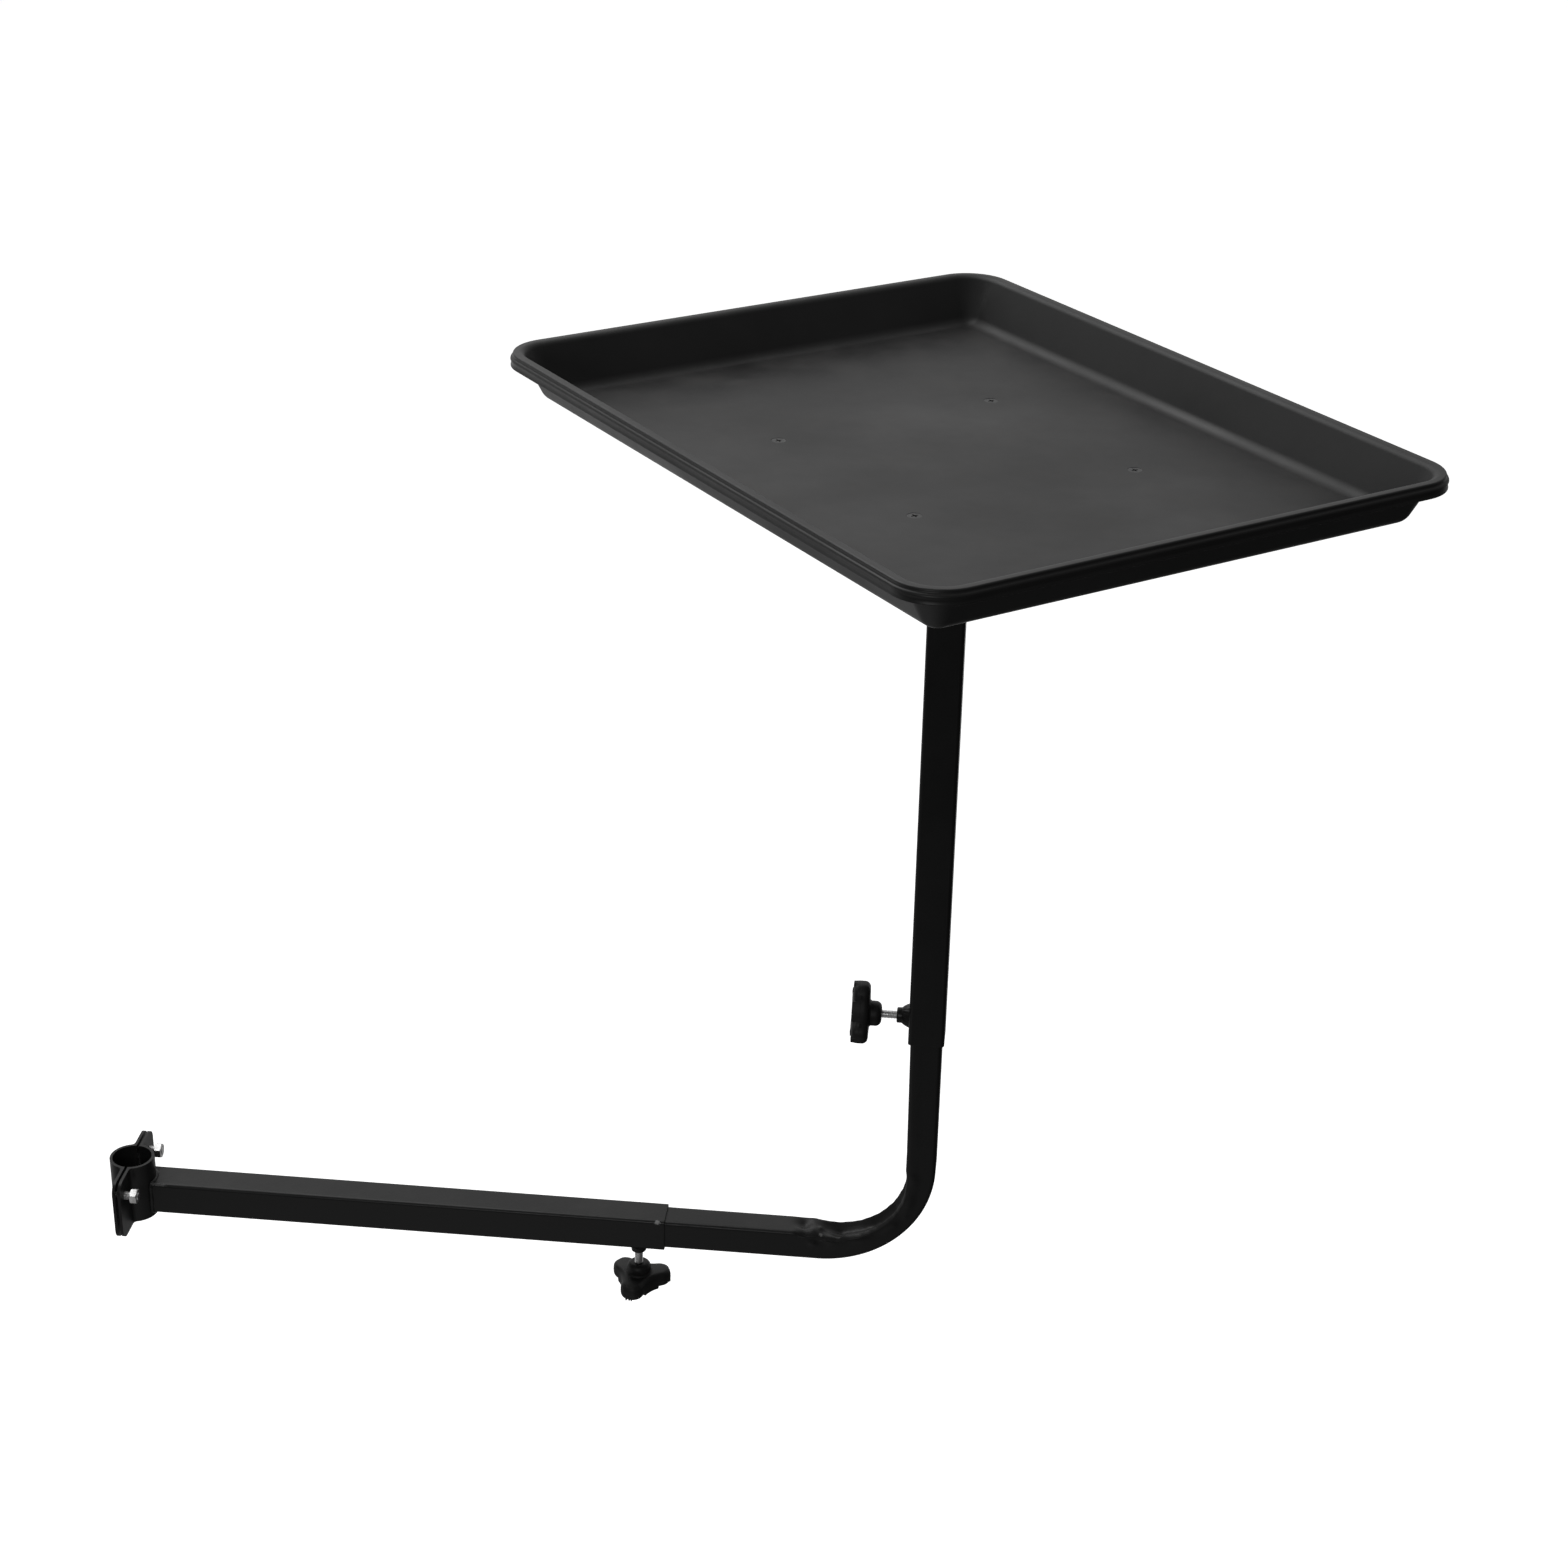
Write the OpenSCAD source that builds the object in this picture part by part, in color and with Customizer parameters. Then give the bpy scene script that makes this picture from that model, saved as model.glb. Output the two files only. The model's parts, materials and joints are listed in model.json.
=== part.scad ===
// Clamp-on tray for a barber chair: a chair clamp, a telescoping L-shaped
// arm of square tube with two knob screws, and a turning moulded tray.
// Millimetres, +Z up. The origin is on the axis of the clamp bore, level
// with the axis of the arm. +X runs along the arm to the post.

/* [Tray] */
// Length of the tray over its rim
tray_l = 499; // [380:1:620]
// Width of the tray over its rim
tray_w = 391; // [300:1:480]
// Depth of the tray, from rim to floor
tray_depth = 31.2; // [24:0.2:40]
// Thickness of the moulding
tray_t = 2; // [1.6:0.1:3]
// Width of the flat rim
rim_w = 8.6; // [7:0.2:12]
// Height of the turned-down lip
lip_h = 9; // [6:0.5:12]
// Lean of the walls away from upright, in degrees
wall_lean = 27; // [10:1:35]
// Radius where a wall runs into the floor
floor_r = 10; // [8:1:18]
// Radius of the flat floor's corners
floor_corner_r = 1; // [1:1:30]
// Turn of the tray on its spindle, in degrees
tray_turn = -52.4; // [-180:0.1:180]

/* [Tray fixing] */
// Screw spacing along the tray
screw_dx = 153; // [100:1:200]
// Screw spacing across the tray
screw_dy = 165; // [100:1:200]
// Screw diameter
screw_d = 5; // [4:1:6]
// Diameter of the countersunk screw heads
screw_head_d = 9; // [8:0.2:10]
// Bare thread below each nut
screw_spare = 2; // [1:0.5:6]
// Width of the bracket arms
bracket_w = 26; // [18:1:36]
// Thickness of the bracket
bracket_t = 3; // [2:0.5:5]
// Diameter of the bracket's middle
bracket_hub_d = 62; // [50:2:90]

/* [Swivel] */
// Diameter of the spindle
spindle_d = 12; // [10:1:14]
// Length of the bush inside the sleeve
bush_l = 30; // [20:1:45]
// Thickness of the bush's flange
bush_flange_t = 2; // [1.5:0.5:4]
// End play of the spindle
end_play = 0.5; // [0.3:0.1:1]
// Length of spindle below its ring
spindle_tail = 8; // [5:1:15]

/* [Tubes] */
// Outside width of the arm and the sleeve
outer_side = 25; // [22:1:30]
// Wall of every tube
tube_wall = 1.2; // [1:0.1:2]
// Gap on each side between the tubes
tube_gap = 0.3; // [0.2:0.05:0.5]
// Radius on the outside corners of the tubes
tube_corner_r = 2.5; // [1.8:0.1:3]
// From the clamp axis to the open end of the arm
arm_reach = 391; // [300:1:500]
// Straight inner tube that shows beside the arm
arm_show = 110; // [40:1:200]
// Length of inner tube inside the arm
arm_overlap = 196; // [120:1:230]
// Radius of the bend, on the tube's centre line
bend_r = 71; // [65:1:120]
// Depth of the press mark on the inside of the bend
press_depth = 7.4; // [4:0.2:9]
// Radius of the press mark
press_r = 50; // [45:1:58]
// Straight inner tube that shows under the sleeve
post_show = 102.5; // [20:0.5:200]
// Length of inner tube inside the sleeve
post_overlap = 250; // [120:1:330]
// Length of the sleeve
sleeve_l = 416.5; // [380:0.5:520]

/* [Knob screws] */
// Stud diameter
stud_d = 6; // [5:1:8]
// Gap between knob and boss as the knob stands
knob_out = 10.5; // [7:0.5:12]
// Height of the welded boss
boss_h = 8.8; // [6:0.2:10]
// Width of the weld round the boss
boss_d = 17; // [14:1:20]
// Diameter of the knob's hub
hub_d = 17.4; // [14:0.2:19]
// Length of the knob's hub
hub_h = 8.2; // [6:0.2:12]
// Thickness of the knob's head
knob_h = 12.4; // [9:0.2:16]
// Distance from the knob's axis to each lobe
lobe_out = 15; // [13:0.5:18]
// Radius of each lobe
lobe_r = 8.6; // [7:0.1:10]
// Radius of the hollow between two lobes
hollow_r = 22; // [14:1:30]
// From the arm's end back to its knob
arm_knob_back = 20; // [12:0.5:60]
// Turn of the arm's knob, in degrees
arm_knob_turn = 20; // [0:5:120]
// From the sleeve's end up to its knob
sleeve_knob_back = 16.3; // [12:0.1:60]
// Turn of the sleeve's knob, in degrees
sleeve_knob_turn = 2; // [0:1:120]

/* [Clamp] */
// Diameter of the chair tube that the clamp grips
grip_d = 28; // [25:1:36]
// Thickness of the jaws
jaw_t = 2; // [1.6:0.2:3]
// Height of the jaws
jaw_h = 46; // [40:1:60]
// How far the jaws reach below the arm's axis
jaw_below = 16; // [13:0.5:25]
// From the clamp's axis sideways to the arm's axis
arm_y = 4.5; // [0:0.5:6]
// From the clamp's axis to the outer edge of each ear
ear_reach = 40; // [36:1:50]
// Radius on the corners of the ears
ear_corner_r = 8; // [2:0.5:10]
// Gap between the ears
jaw_gap = 2; // [1:0.5:4]
// Radius where each ear runs into its jaw
ear_root_r = 3; // [2:0.5:4]
// From the clamp's axis sideways to each bolt
bolt_y = 30; // [27:0.5:32]
// From the arm's axis up to each bolt
bolt_z = 16.5; // [5:0.5:20]
// Bolt diameter
bolt_d = 6; // [5:1:8]
// Bolt length under its head
bolt_l = 16; // [14:1:30]
// Diameter of the bolt heads
bolt_head_d = 13; // [11:1:16]
// Height of the bolt heads
bolt_head_h = 3.3; // [2.5:0.1:4.5]

/* [Hidden] */
$fn = 96;
// clearances, each on one side
run_fit = 0.05;
seat_fit = 0.02;
hole_fit = 0.25;
swivel_gap = 0.1;
neck_fit = 0.15;
// from each stud's tip to the inner tube
tip_gap = 0.3;
// chamfer on each stud's tip
tip_chamfer = 0.8;
// rounding on the outside and on the inside of the tray's rim
rim_edge_r = 2;
rim_inner_r = 5.5;
// ledge round the outside of the rim: its depth below the rim and its width
ledge_down = 3.4;
ledge_w = 0.8;
// steps along a rounded edge of the tray's section
arc_steps = 8;
// retaining ring
ring_t = 1.2;
ring_d = 19;
// washer under each tray nut
washer_t = 1;
washer_d = 10;
// common proportions of hexagon nuts, to the thread diameter
nut_af_ratio = 1.65;
nut_h_ratio = 0.8;
// bolt end beyond its nut
bolt_end = 0.5;
// how far each tray screw is sunk, and the recess in it
screw_sink = 0.2;
recess_w = 1.1;
recess_l = 4.6;
recess_h = 1.3;
// weld round each boss
weld_h = 5.2;
boss_nose_d = 11;
// crown and edge of the knob's head
knob_crown = 1.2;
knob_edge_r = 3.9;
knob_flat_r = 8;
edge_steps = 4;
// how much the lobes' tips are turned off
knob_tip_trim = 0.3;
// steps along each hollow, and how far its ends reach into the lobes
hollow_steps = 8;
lobe_bite = 0.3;
hub_edge_r = 4.1;

inner_side = outer_side - 2 * tube_wall - 2 * tube_gap;
post_x = arm_reach + arm_show + bend_r;
arm_end_x = arm_reach;
sleeve_z = bend_r + post_show;
sleeve_top_z = sleeve_z + sleeve_l;
bracket_z = sleeve_top_z + bush_flange_t + swivel_gap;
tray_under_z = bracket_z + bracket_t;
rim_z = tray_under_z + tray_t + tray_depth;
spindle_low_z = sleeve_top_z - bush_l - end_play - ring_t - spindle_tail;

// the fillet between wall and floor, from the rim's outer edge
fillet_s = (tray_depth - floor_r * (1 - sin(wall_lean))) / cos(wall_lean);
fillet_in = rim_w + fillet_s * sin(wall_lean) + floor_r * cos(wall_lean);
tray_corner_r = fillet_in + floor_corner_r;
half_l = tray_l / 2;
half_w = tray_w / 2;

jaw_r = grip_d / 2;
ear_x = jaw_gap / 2;
nut_af = nut_af_ratio * bolt_d;
nut_h = nut_h_ratio * bolt_d;
screw_nut_h = nut_h_ratio * screw_d;
bolt_tip_x = bolt_l - ear_x - jaw_t;
knob_tip_r = lobe_out + lobe_r - knob_tip_trim;
arm_knob_x = arm_end_x - arm_knob_back;
sleeve_knob_z = sleeve_z + sleeve_knob_back;

// Square with rounded corners, centred
module round_square(w, h, r) {
    square([w - 2 * r, h], center = true);
    square([w, h - 2 * r], center = true);
    for (sx = [-1, 1], sy = [-1, 1])
        translate([sx * (w / 2 - r), sy * (h / 2 - r)]) circle(r);
}

// Section of a square tube's outside, or of its bore with inset = tube_wall
module tube_section(side, inset) {
    r = tube_corner_r - inset;
    round_square(side - 2 * inset, side - 2 * inset, r);
}

// Bar of square section along +X from x = 0
module square_bar(side, inset, length) {
    rotate([90, 0, 90]) linear_extrude(length) tube_section(side, inset);
}

// Cylinder along +X from x = 0
module x_cylinder(r, h) {
    rotate([0, 90, 0]) cylinder(r = r, h = h);
}

// Hexagon prism along +Z with a bore
module hex_nut(af, h, bore_r) {
    difference() {
        intersection() {
            cylinder(d = af / cos(30), h = h, $fn = 6);
            // the chamfer of a nut's corners
            rotate_extrude() polygon([
                [0, 0], [af / 2, 0], [af / 2 / cos(30), h * 0.12],
                [af / 2 / cos(30), h * 0.88], [af / 2, h], [0, h]
            ]);
        }
        translate([0, 0, -1]) cylinder(r = bore_r, h = h + 2);
    }
}

// Clamp

// Outline of the fixed jaw with its bore filled: half a disc, two ears and
// their root fillets
module jaw_outline() {
    outer_r = jaw_r + jaw_t;
    root_x = ear_x + jaw_t + ear_root_r;
    root_y = sqrt(pow(outer_r + ear_root_r, 2) - root_x * root_x);
    difference() {
        union() {
            intersection() {
                circle(outer_r);
                translate([ear_x, -outer_r]) square([outer_r, 2 * outer_r]);
            }
            translate([ear_x, -ear_reach]) square([jaw_t, 2 * ear_reach]);
            polygon([
                [ear_x, -root_y], [root_x, -root_y], [ear_x, 0], [root_x, root_y], [ear_x, root_y]
            ]);
        }
        for (s = [-1, 1]) translate([root_x, s * root_y]) circle(ear_root_r);
    }
}

// Jaw on the +X side, with round corners on its ears
module jaw_blank() {
    intersection() {
        translate([0, 0, -jaw_below]) linear_extrude(jaw_h) difference() {
            jaw_outline();
            circle(jaw_r);
        }
        translate([0, 0, jaw_h / 2 - jaw_below]) rotate([90, 0, 90])
            linear_extrude(jaw_r + jaw_t + 1) round_square(2 * ear_reach, jaw_h, ear_corner_r);
    }
}

module fixed_jaw() {
    color("#1d1d1e") difference() {
        jaw_blank();
        for (s = [-1, 1])
            translate([0, s * bolt_y, bolt_z]) x_cylinder(bolt_d / 2 + hole_fit, ear_x + jaw_t + 1);
    }
}

module loose_jaw() {
    neck = bolt_d + 2 * neck_fit;
    color("#1d1d1e") difference() {
        mirror([1, 0, 0]) jaw_blank();
        for (s = [-1, 1])
            translate([-ear_x - jaw_t - 1, s * bolt_y - neck / 2, bolt_z - neck / 2])
                cube([jaw_t + 2, neck, neck]);
    }
}

// Carriage bolt along +X: domed head, square neck in the loose jaw, plain shank
module clamp_bolt(side) {
    head_x = -ear_x - jaw_t;
    dome_r = (pow(bolt_head_d / 2, 2) + pow(bolt_head_h, 2)) / (2 * bolt_head_h);
    color("#c9c9cc") translate([head_x, side * bolt_y, bolt_z]) {
        intersection() {
            translate([dome_r - bolt_head_h, 0, 0]) rotate([0, 90, 0])
                rotate_extrude() intersection() {
                    circle(dome_r);
                    translate([0, -dome_r]) square([dome_r, dome_r]);
                }
            translate([-bolt_head_h, 0, 0]) x_cylinder(bolt_head_d / 2, bolt_head_h);
        }
        translate([0, -bolt_d / 2, -bolt_d / 2]) cube([jaw_t, bolt_d, bolt_d]);
        x_cylinder(bolt_d / 2, bolt_l);
    }
}

// Nut near the end of its bolt
module clamp_nut(side) {
    color("#c9c9cc") translate([bolt_tip_x - bolt_end - nut_h, side * bolt_y, bolt_z])
        rotate([0, 90, 0]) hex_nut(nut_af, nut_h, bolt_d / 2 + run_fit);
}

module clamp_bolt_near() { clamp_bolt(-1); }
module clamp_bolt_far() { clamp_bolt(1); }
module clamp_nut_near() { clamp_nut(-1); }
module clamp_nut_far() { clamp_nut(1); }

// Arm

// Square tube, coped at its left end to sit round the fixed jaw
module outer_arm_tube() {
    start_x = ear_x + jaw_t;
    color("#1a1a1b") difference() {
        translate([start_x, arm_y, 0]) square_bar(outer_side, 0, arm_end_x - start_x);
        translate([0, arm_y, 0]) square_bar(outer_side, tube_wall, arm_end_x + 1);
        translate([0, 0, -outer_side]) linear_extrude(2 * outer_side) jaw_outline();
        translate([arm_knob_x, arm_y, -outer_side]) cylinder(r = stud_d / 2 + hole_fit, h = outer_side);
    }
}

// Threaded boss welded to a tube, standing along +Z from z = 0
module boss() {
    difference() {
        rotate_extrude() polygon([
            [0, 0], [boss_d / 2, 0], [boss_nose_d / 2, weld_h],
            [boss_nose_d / 2, boss_h - 1], [boss_nose_d / 2 - 1, boss_h], [0, boss_h]
        ]);
        translate([0, 0, -1]) cylinder(r = stud_d / 2 + run_fit, h = boss_h + 2);
    }
}

module at_arm_knob() {
    translate([arm_knob_x, arm_y, -outer_side / 2]) rotate([180, 0, 0]) children();
}

module at_sleeve_knob() {
    translate([post_x - outer_side / 2, arm_y, sleeve_knob_z]) rotate([0, -90, 0]) children();
}

module arm_boss() { color("#1a1a1b") at_arm_knob() boss(); }
module sleeve_boss() { color("#1a1a1b") at_sleeve_knob() boss(); }

// Plan of the knob's head: three lobes joined by shallow hollows. The
// hollows' ends reach a little into the lobes.
module knob_plan() {
    reach = lobe_r + hollow_r;
    hollow_out = (lobe_out + sqrt(4 * reach * reach - 3 * lobe_out * lobe_out)) / 2;
    half = asin(lobe_out * sin(60) / reach);
    for (a = [0:120:240]) rotate(a) translate([lobe_out, 0]) circle(lobe_r);
    polygon([
        for (a = [60:120:300], i = [0:hollow_steps])
            let (
                b = a + 180 + half * (1 - 2 * i / hollow_steps),
                r = hollow_r + (i == 0 || i == hollow_steps ? lobe_bite : 0)
            )
            [hollow_out * cos(a) + r * cos(b), hollow_out * sin(a) + r * sin(b)]
    ]);
}

// Half section of the head's round disc, which trims the lobes and rounds
// their edges
module knob_disc(low, top) {
    edge_in = knob_tip_r - knob_edge_r;
    polygon([
        [0, low],
        for (i = [0:edge_steps])
            let (a = 90 * i / edge_steps)
            [edge_in + knob_edge_r * sin(a), low + knob_edge_r * (1 - cos(a))],
        for (i = [0:edge_steps])
            let (a = 90 * i / edge_steps)
            [edge_in + knob_edge_r * cos(a), top - knob_crown - knob_edge_r * (1 - sin(a))],
        [knob_flat_r, top], [0, top]
    ]);
}

// Knob's head and hub along +Z; z = 0 is the tube's face
module knob_head() {
    low = boss_h + knob_out;
    seat = low + hub_h;
    difference() {
        union() {
            translate([0, 0, low]) rotate_extrude() polygon(concat(
                [[0, 0]],
                arc([hub_d / 2 - hub_edge_r, hub_edge_r], hub_edge_r, 270, 360),
                [[hub_d / 2, hub_h + 1], [0, hub_h + 1]]
            ));
            intersection() {
                translate([0, 0, seat]) linear_extrude(knob_h) knob_plan();
                rotate_extrude() knob_disc(seat, seat + knob_h);
            }
        }
        translate([0, 0, low - 1]) cylinder(r = stud_d / 2 + seat_fit, h = hub_h + knob_h / 2 + 1);
    }
}

// Stud from the boss into the knob, with a pointed tip
module knob_stud() {
    tip = tip_gap - tube_gap - tube_wall;
    end = boss_h + knob_out + hub_h + knob_h / 2;
    r = stud_d / 2;
    rotate_extrude() polygon([
        [0, tip], [r - tip_chamfer, tip], [r, tip + tip_chamfer], [r, end], [0, end]
    ]);
}

module arm_knob_head() { color("#161617") at_arm_knob() rotate(-arm_knob_turn) knob_head(); }
module arm_knob_stud() { color("#d2d2d4") at_arm_knob() knob_stud(); }
module sleeve_knob_head() { color("#161617") at_sleeve_knob() rotate(sleeve_knob_turn) knob_head(); }
module sleeve_knob_stud() { color("#d2d2d4") at_sleeve_knob() knob_stud(); }

// L-shaped inner tube

// The inner tube's outside, or its bore with inset = tube_wall. The end
// allowance lets the bore run out through both ends.
module l_body(inset, extra) {
    start_x = arm_end_x - arm_overlap - extra;
    bend_x = post_x - bend_r;
    press_out = bend_r - inner_side / 2 + press_depth - press_r;
    press_step = press_out / sqrt(2);
    difference() {
        union() {
            translate([start_x, 0, 0]) square_bar(inner_side, inset, bend_x - start_x);
            translate([post_x, 0, bend_r])
                linear_extrude(post_show + post_overlap + extra) tube_section(inner_side, inset);
            translate([bend_x, 0, bend_r]) rotate([90, 0, 0]) rotate([0, 0, -90])
                rotate_extrude(angle = 90) translate([bend_r, 0]) tube_section(inner_side, inset);
        }
        translate([bend_x + press_step, 0, bend_r - press_step]) rotate([90, 0, 0])
            cylinder(r = press_r + inset, h = 2 * inner_side, center = true);
    }
}

module inner_l_tube() {
    color("#1a1a1b") translate([0, arm_y, 0]) difference() {
        l_body(0, 0);
        l_body(tube_wall, 1);
    }
}

// Sleeve and swivel

module sleeve_tube() {
    color("#1a1a1b") translate([post_x, arm_y, sleeve_z]) difference() {
        linear_extrude(sleeve_l) tube_section(outer_side, 0);
        translate([0, 0, -1]) linear_extrude(sleeve_l + 2) tube_section(outer_side, tube_wall);
        translate([-outer_side, 0, sleeve_knob_back]) x_cylinder(stud_d / 2 + hole_fit, outer_side);
    }
}

// Plastic bush pressed into the sleeve, with a flange on the sleeve's end
module swivel_bush() {
    color("#262627") translate([post_x, arm_y, sleeve_top_z]) difference() {
        union() {
            linear_extrude(bush_flange_t) tube_section(outer_side, 0);
            translate([0, 0, -bush_l]) linear_extrude(bush_l + bush_flange_t)
                tube_section(outer_side, tube_wall + seat_fit);
        }
        translate([0, 0, -bush_l - 1])
            cylinder(d = spindle_d + 2 * run_fit, h = bush_l + bush_flange_t + 2);
    }
}

// Round spindle welded into the bracket
module spindle() {
    color("#c9c9cc") translate([post_x, arm_y, spindle_low_z]) rotate_extrude() polygon([
        [0, 0], [spindle_d / 2 - 1, 0], [spindle_d / 2, 1],
        [spindle_d / 2, tray_under_z - spindle_low_z], [0, tray_under_z - spindle_low_z]
    ]);
}

// Push-on ring that keeps the spindle in its bush
module spindle_ring() {
    ring_z = sleeve_top_z - bush_l - end_play - ring_t;
    color("#c9c9cc") translate([post_x, arm_y, ring_z]) difference() {
        cylinder(d = ring_d, h = ring_t);
        translate([0, 0, -1]) cylinder(r = spindle_d / 2 + seat_fit, h = ring_t + 2);
    }
}

// Everything below turns with the tray
module at_tray(z) {
    translate([post_x, arm_y, z]) rotate(tray_turn) children();
}

module at_screw(i) {
    sx = i == 1 || i == 4 ? -1 : 1;
    sy = i <= 2 ? -1 : 1;
    at_tray(tray_under_z) translate([sx * screw_dx / 2, sy * screw_dy / 2, 0]) children();
}

// Cutters for the four screws' holes and countersunk seats; z = 0 is the
// tray's floor
module screw_seats() {
    sheet = tray_t + bracket_t;
    tip = screw_head_d / 2 + screw_sink + seat_fit;
    for (sx = [-1, 1], sy = [-1, 1]) translate([sx * screw_dx / 2, sy * screw_dy / 2, 0]) {
        translate([0, 0, -sheet - 1]) cylinder(r = screw_d / 2 + hole_fit, h = sheet + 2);
        translate([0, 0, -tip]) cylinder(r1 = 0, r2 = tip + 1, h = tip + 1);
    }
}

// Cross of two bars in one plate, with a round middle
module tray_bracket() {
    reach = norm([screw_dx, screw_dy]);
    lean = atan2(screw_dy, screw_dx);
    color("#1a1a1b") at_tray(bracket_z) difference() {
        linear_extrude(bracket_t) {
            circle(d = bracket_hub_d);
            for (a = [lean, -lean]) rotate(a) {
                square([reach, bracket_w], center = true);
                for (s = [-1, 1]) translate([s * reach / 2, 0]) circle(d = bracket_w);
            }
        }
        translate([0, 0, bracket_t + tray_t]) screw_seats();
        translate([0, 0, -1]) cylinder(r = spindle_d / 2 + seat_fit, h = bracket_t + 2);
    }
}

// Tray

function arc(c, r, from, to) = [
    for (i = [0:arc_steps]) let (a = from + (to - from) * i / arc_steps) c + r * [cos(a), sin(a)]
];

// Section of rim, lip, wall and fillet; x runs inwards from the rim's edge
function tray_section() =
    let (
        lean = wall_lean,
        turn = rim_inner_r * tan((90 - lean) / 2),
        roll = [rim_w - turn, -rim_inner_r],
        centre = [fillet_in, floor_r - tray_depth]
    )
    concat(
        arc([ledge_w + rim_edge_r, -rim_edge_r], rim_edge_r, 180, 90),
        arc(roll, rim_inner_r, 90, lean),
        arc(centre, floor_r, 180 + lean, 270),
        arc(centre, floor_r + tray_t, 270, 180 + lean),
        arc(roll, rim_inner_r - tray_t, lean, 90),
        [
            [ledge_w + tray_t, -tray_t], [ledge_w + tray_t, -ledge_down], [tray_t, -ledge_down - ledge_w],
            [tray_t, -lip_h], [0, -lip_h], [0, -ledge_down], [ledge_w, -ledge_down]
        ]
    );

// One straight wall, with its outer edge on x = 0 and the tray on +X
module wall_run(length) {
    rotate([90, 0, 0]) linear_extrude(length, center = true) polygon(tray_section());
}

module wall_corner() {
    rotate_extrude(angle = 90) polygon([for (p = tray_section()) [tray_corner_r - p[0], p[1]]]);
}

module tray() {
    run_l = tray_l - 2 * tray_corner_r;
    run_w = tray_w - 2 * tray_corner_r;
    color("#2b2b2c") at_tray(rim_z) difference() {
        union() {
            for (a = [0, 180]) rotate(a) {
                translate([-half_l, 0, 0]) wall_run(run_w);
                rotate(90) translate([-half_w, 0, 0]) wall_run(run_l);
                translate([half_l - tray_corner_r, half_w - tray_corner_r, 0]) wall_corner();
                rotate(90) translate([half_w - tray_corner_r, half_l - tray_corner_r, 0]) wall_corner();
            }
            translate([0, 0, -tray_depth - tray_t]) linear_extrude(tray_t)
                round_square(tray_l - 2 * fillet_in, tray_w - 2 * fillet_in, floor_corner_r);
        }
        translate([0, 0, -tray_depth]) screw_seats();
    }
}

// Tray screws, washers and nuts, numbered round the tray

module tray_screw(i) {
    head_r = screw_head_d / 2;
    shank_r = screw_d / 2;
    end = screw_sink - tray_t - bracket_t - washer_t - screw_nut_h - screw_spare;
    color("#141415") at_screw(i) translate([0, 0, tray_t - screw_sink]) difference() {
        rotate_extrude() polygon([
            [0, end], [shank_r, end], [shank_r, shank_r - head_r], [head_r, 0], [0, 0]
        ]);
        for (a = [0, 90])
            rotate(a) translate([-recess_l / 2, -recess_w / 2, -recess_h]) cube([recess_l, recess_w, recess_h + 1]);
    }
}

module tray_washer(i) {
    color("#b9b9bc") at_screw(i) translate([0, 0, -bracket_t - washer_t]) difference() {
        cylinder(d = washer_d, h = washer_t);
        translate([0, 0, -1]) cylinder(r = screw_d / 2 + hole_fit, h = washer_t + 2);
    }
}

module tray_nut(i) {
    color("#b9b9bc") at_screw(i) translate([0, 0, -bracket_t - washer_t - screw_nut_h])
        hex_nut(nut_af_ratio * screw_d, screw_nut_h, screw_d / 2 + seat_fit);
}

outer_arm_tube();
fixed_jaw();
arm_boss();
loose_jaw();
clamp_bolt_near();
clamp_bolt_far();
clamp_nut_near();
clamp_nut_far();
arm_knob_head();
arm_knob_stud();
inner_l_tube();
sleeve_tube();
sleeve_boss();
swivel_bush();
sleeve_knob_head();
sleeve_knob_stud();
spindle();
spindle_ring();
tray_bracket();
tray();
tray_screw(1);  // tray_screw_1
tray_screw(2);  // tray_screw_2
tray_screw(3);  // tray_screw_3
tray_screw(4);  // tray_screw_4
tray_washer(1);  // tray_washer_1
tray_washer(2);  // tray_washer_2
tray_washer(3);  // tray_washer_3
tray_washer(4);  // tray_washer_4
tray_nut(1);  // tray_nut_1
tray_nut(2);  // tray_nut_2
tray_nut(3);  // tray_nut_3
tray_nut(4);  // tray_nut_4
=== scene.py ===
"""Looks of a barber chair tray: its finishes, fine pieces, studio and camera.

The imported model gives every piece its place. This script gives each piece
its finish, replaces those whose surface needs a finer mesh, and sets up a
plain studio with the camera at the photograph's angle. Lengths are metres.
"""

import json
import logging
import math
from collections.abc import Iterable, Sequence
from dataclasses import dataclass
from enum import Enum
from typing import Any

import bmesh
import bpy
from mathutils import Matrix, Vector


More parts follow.
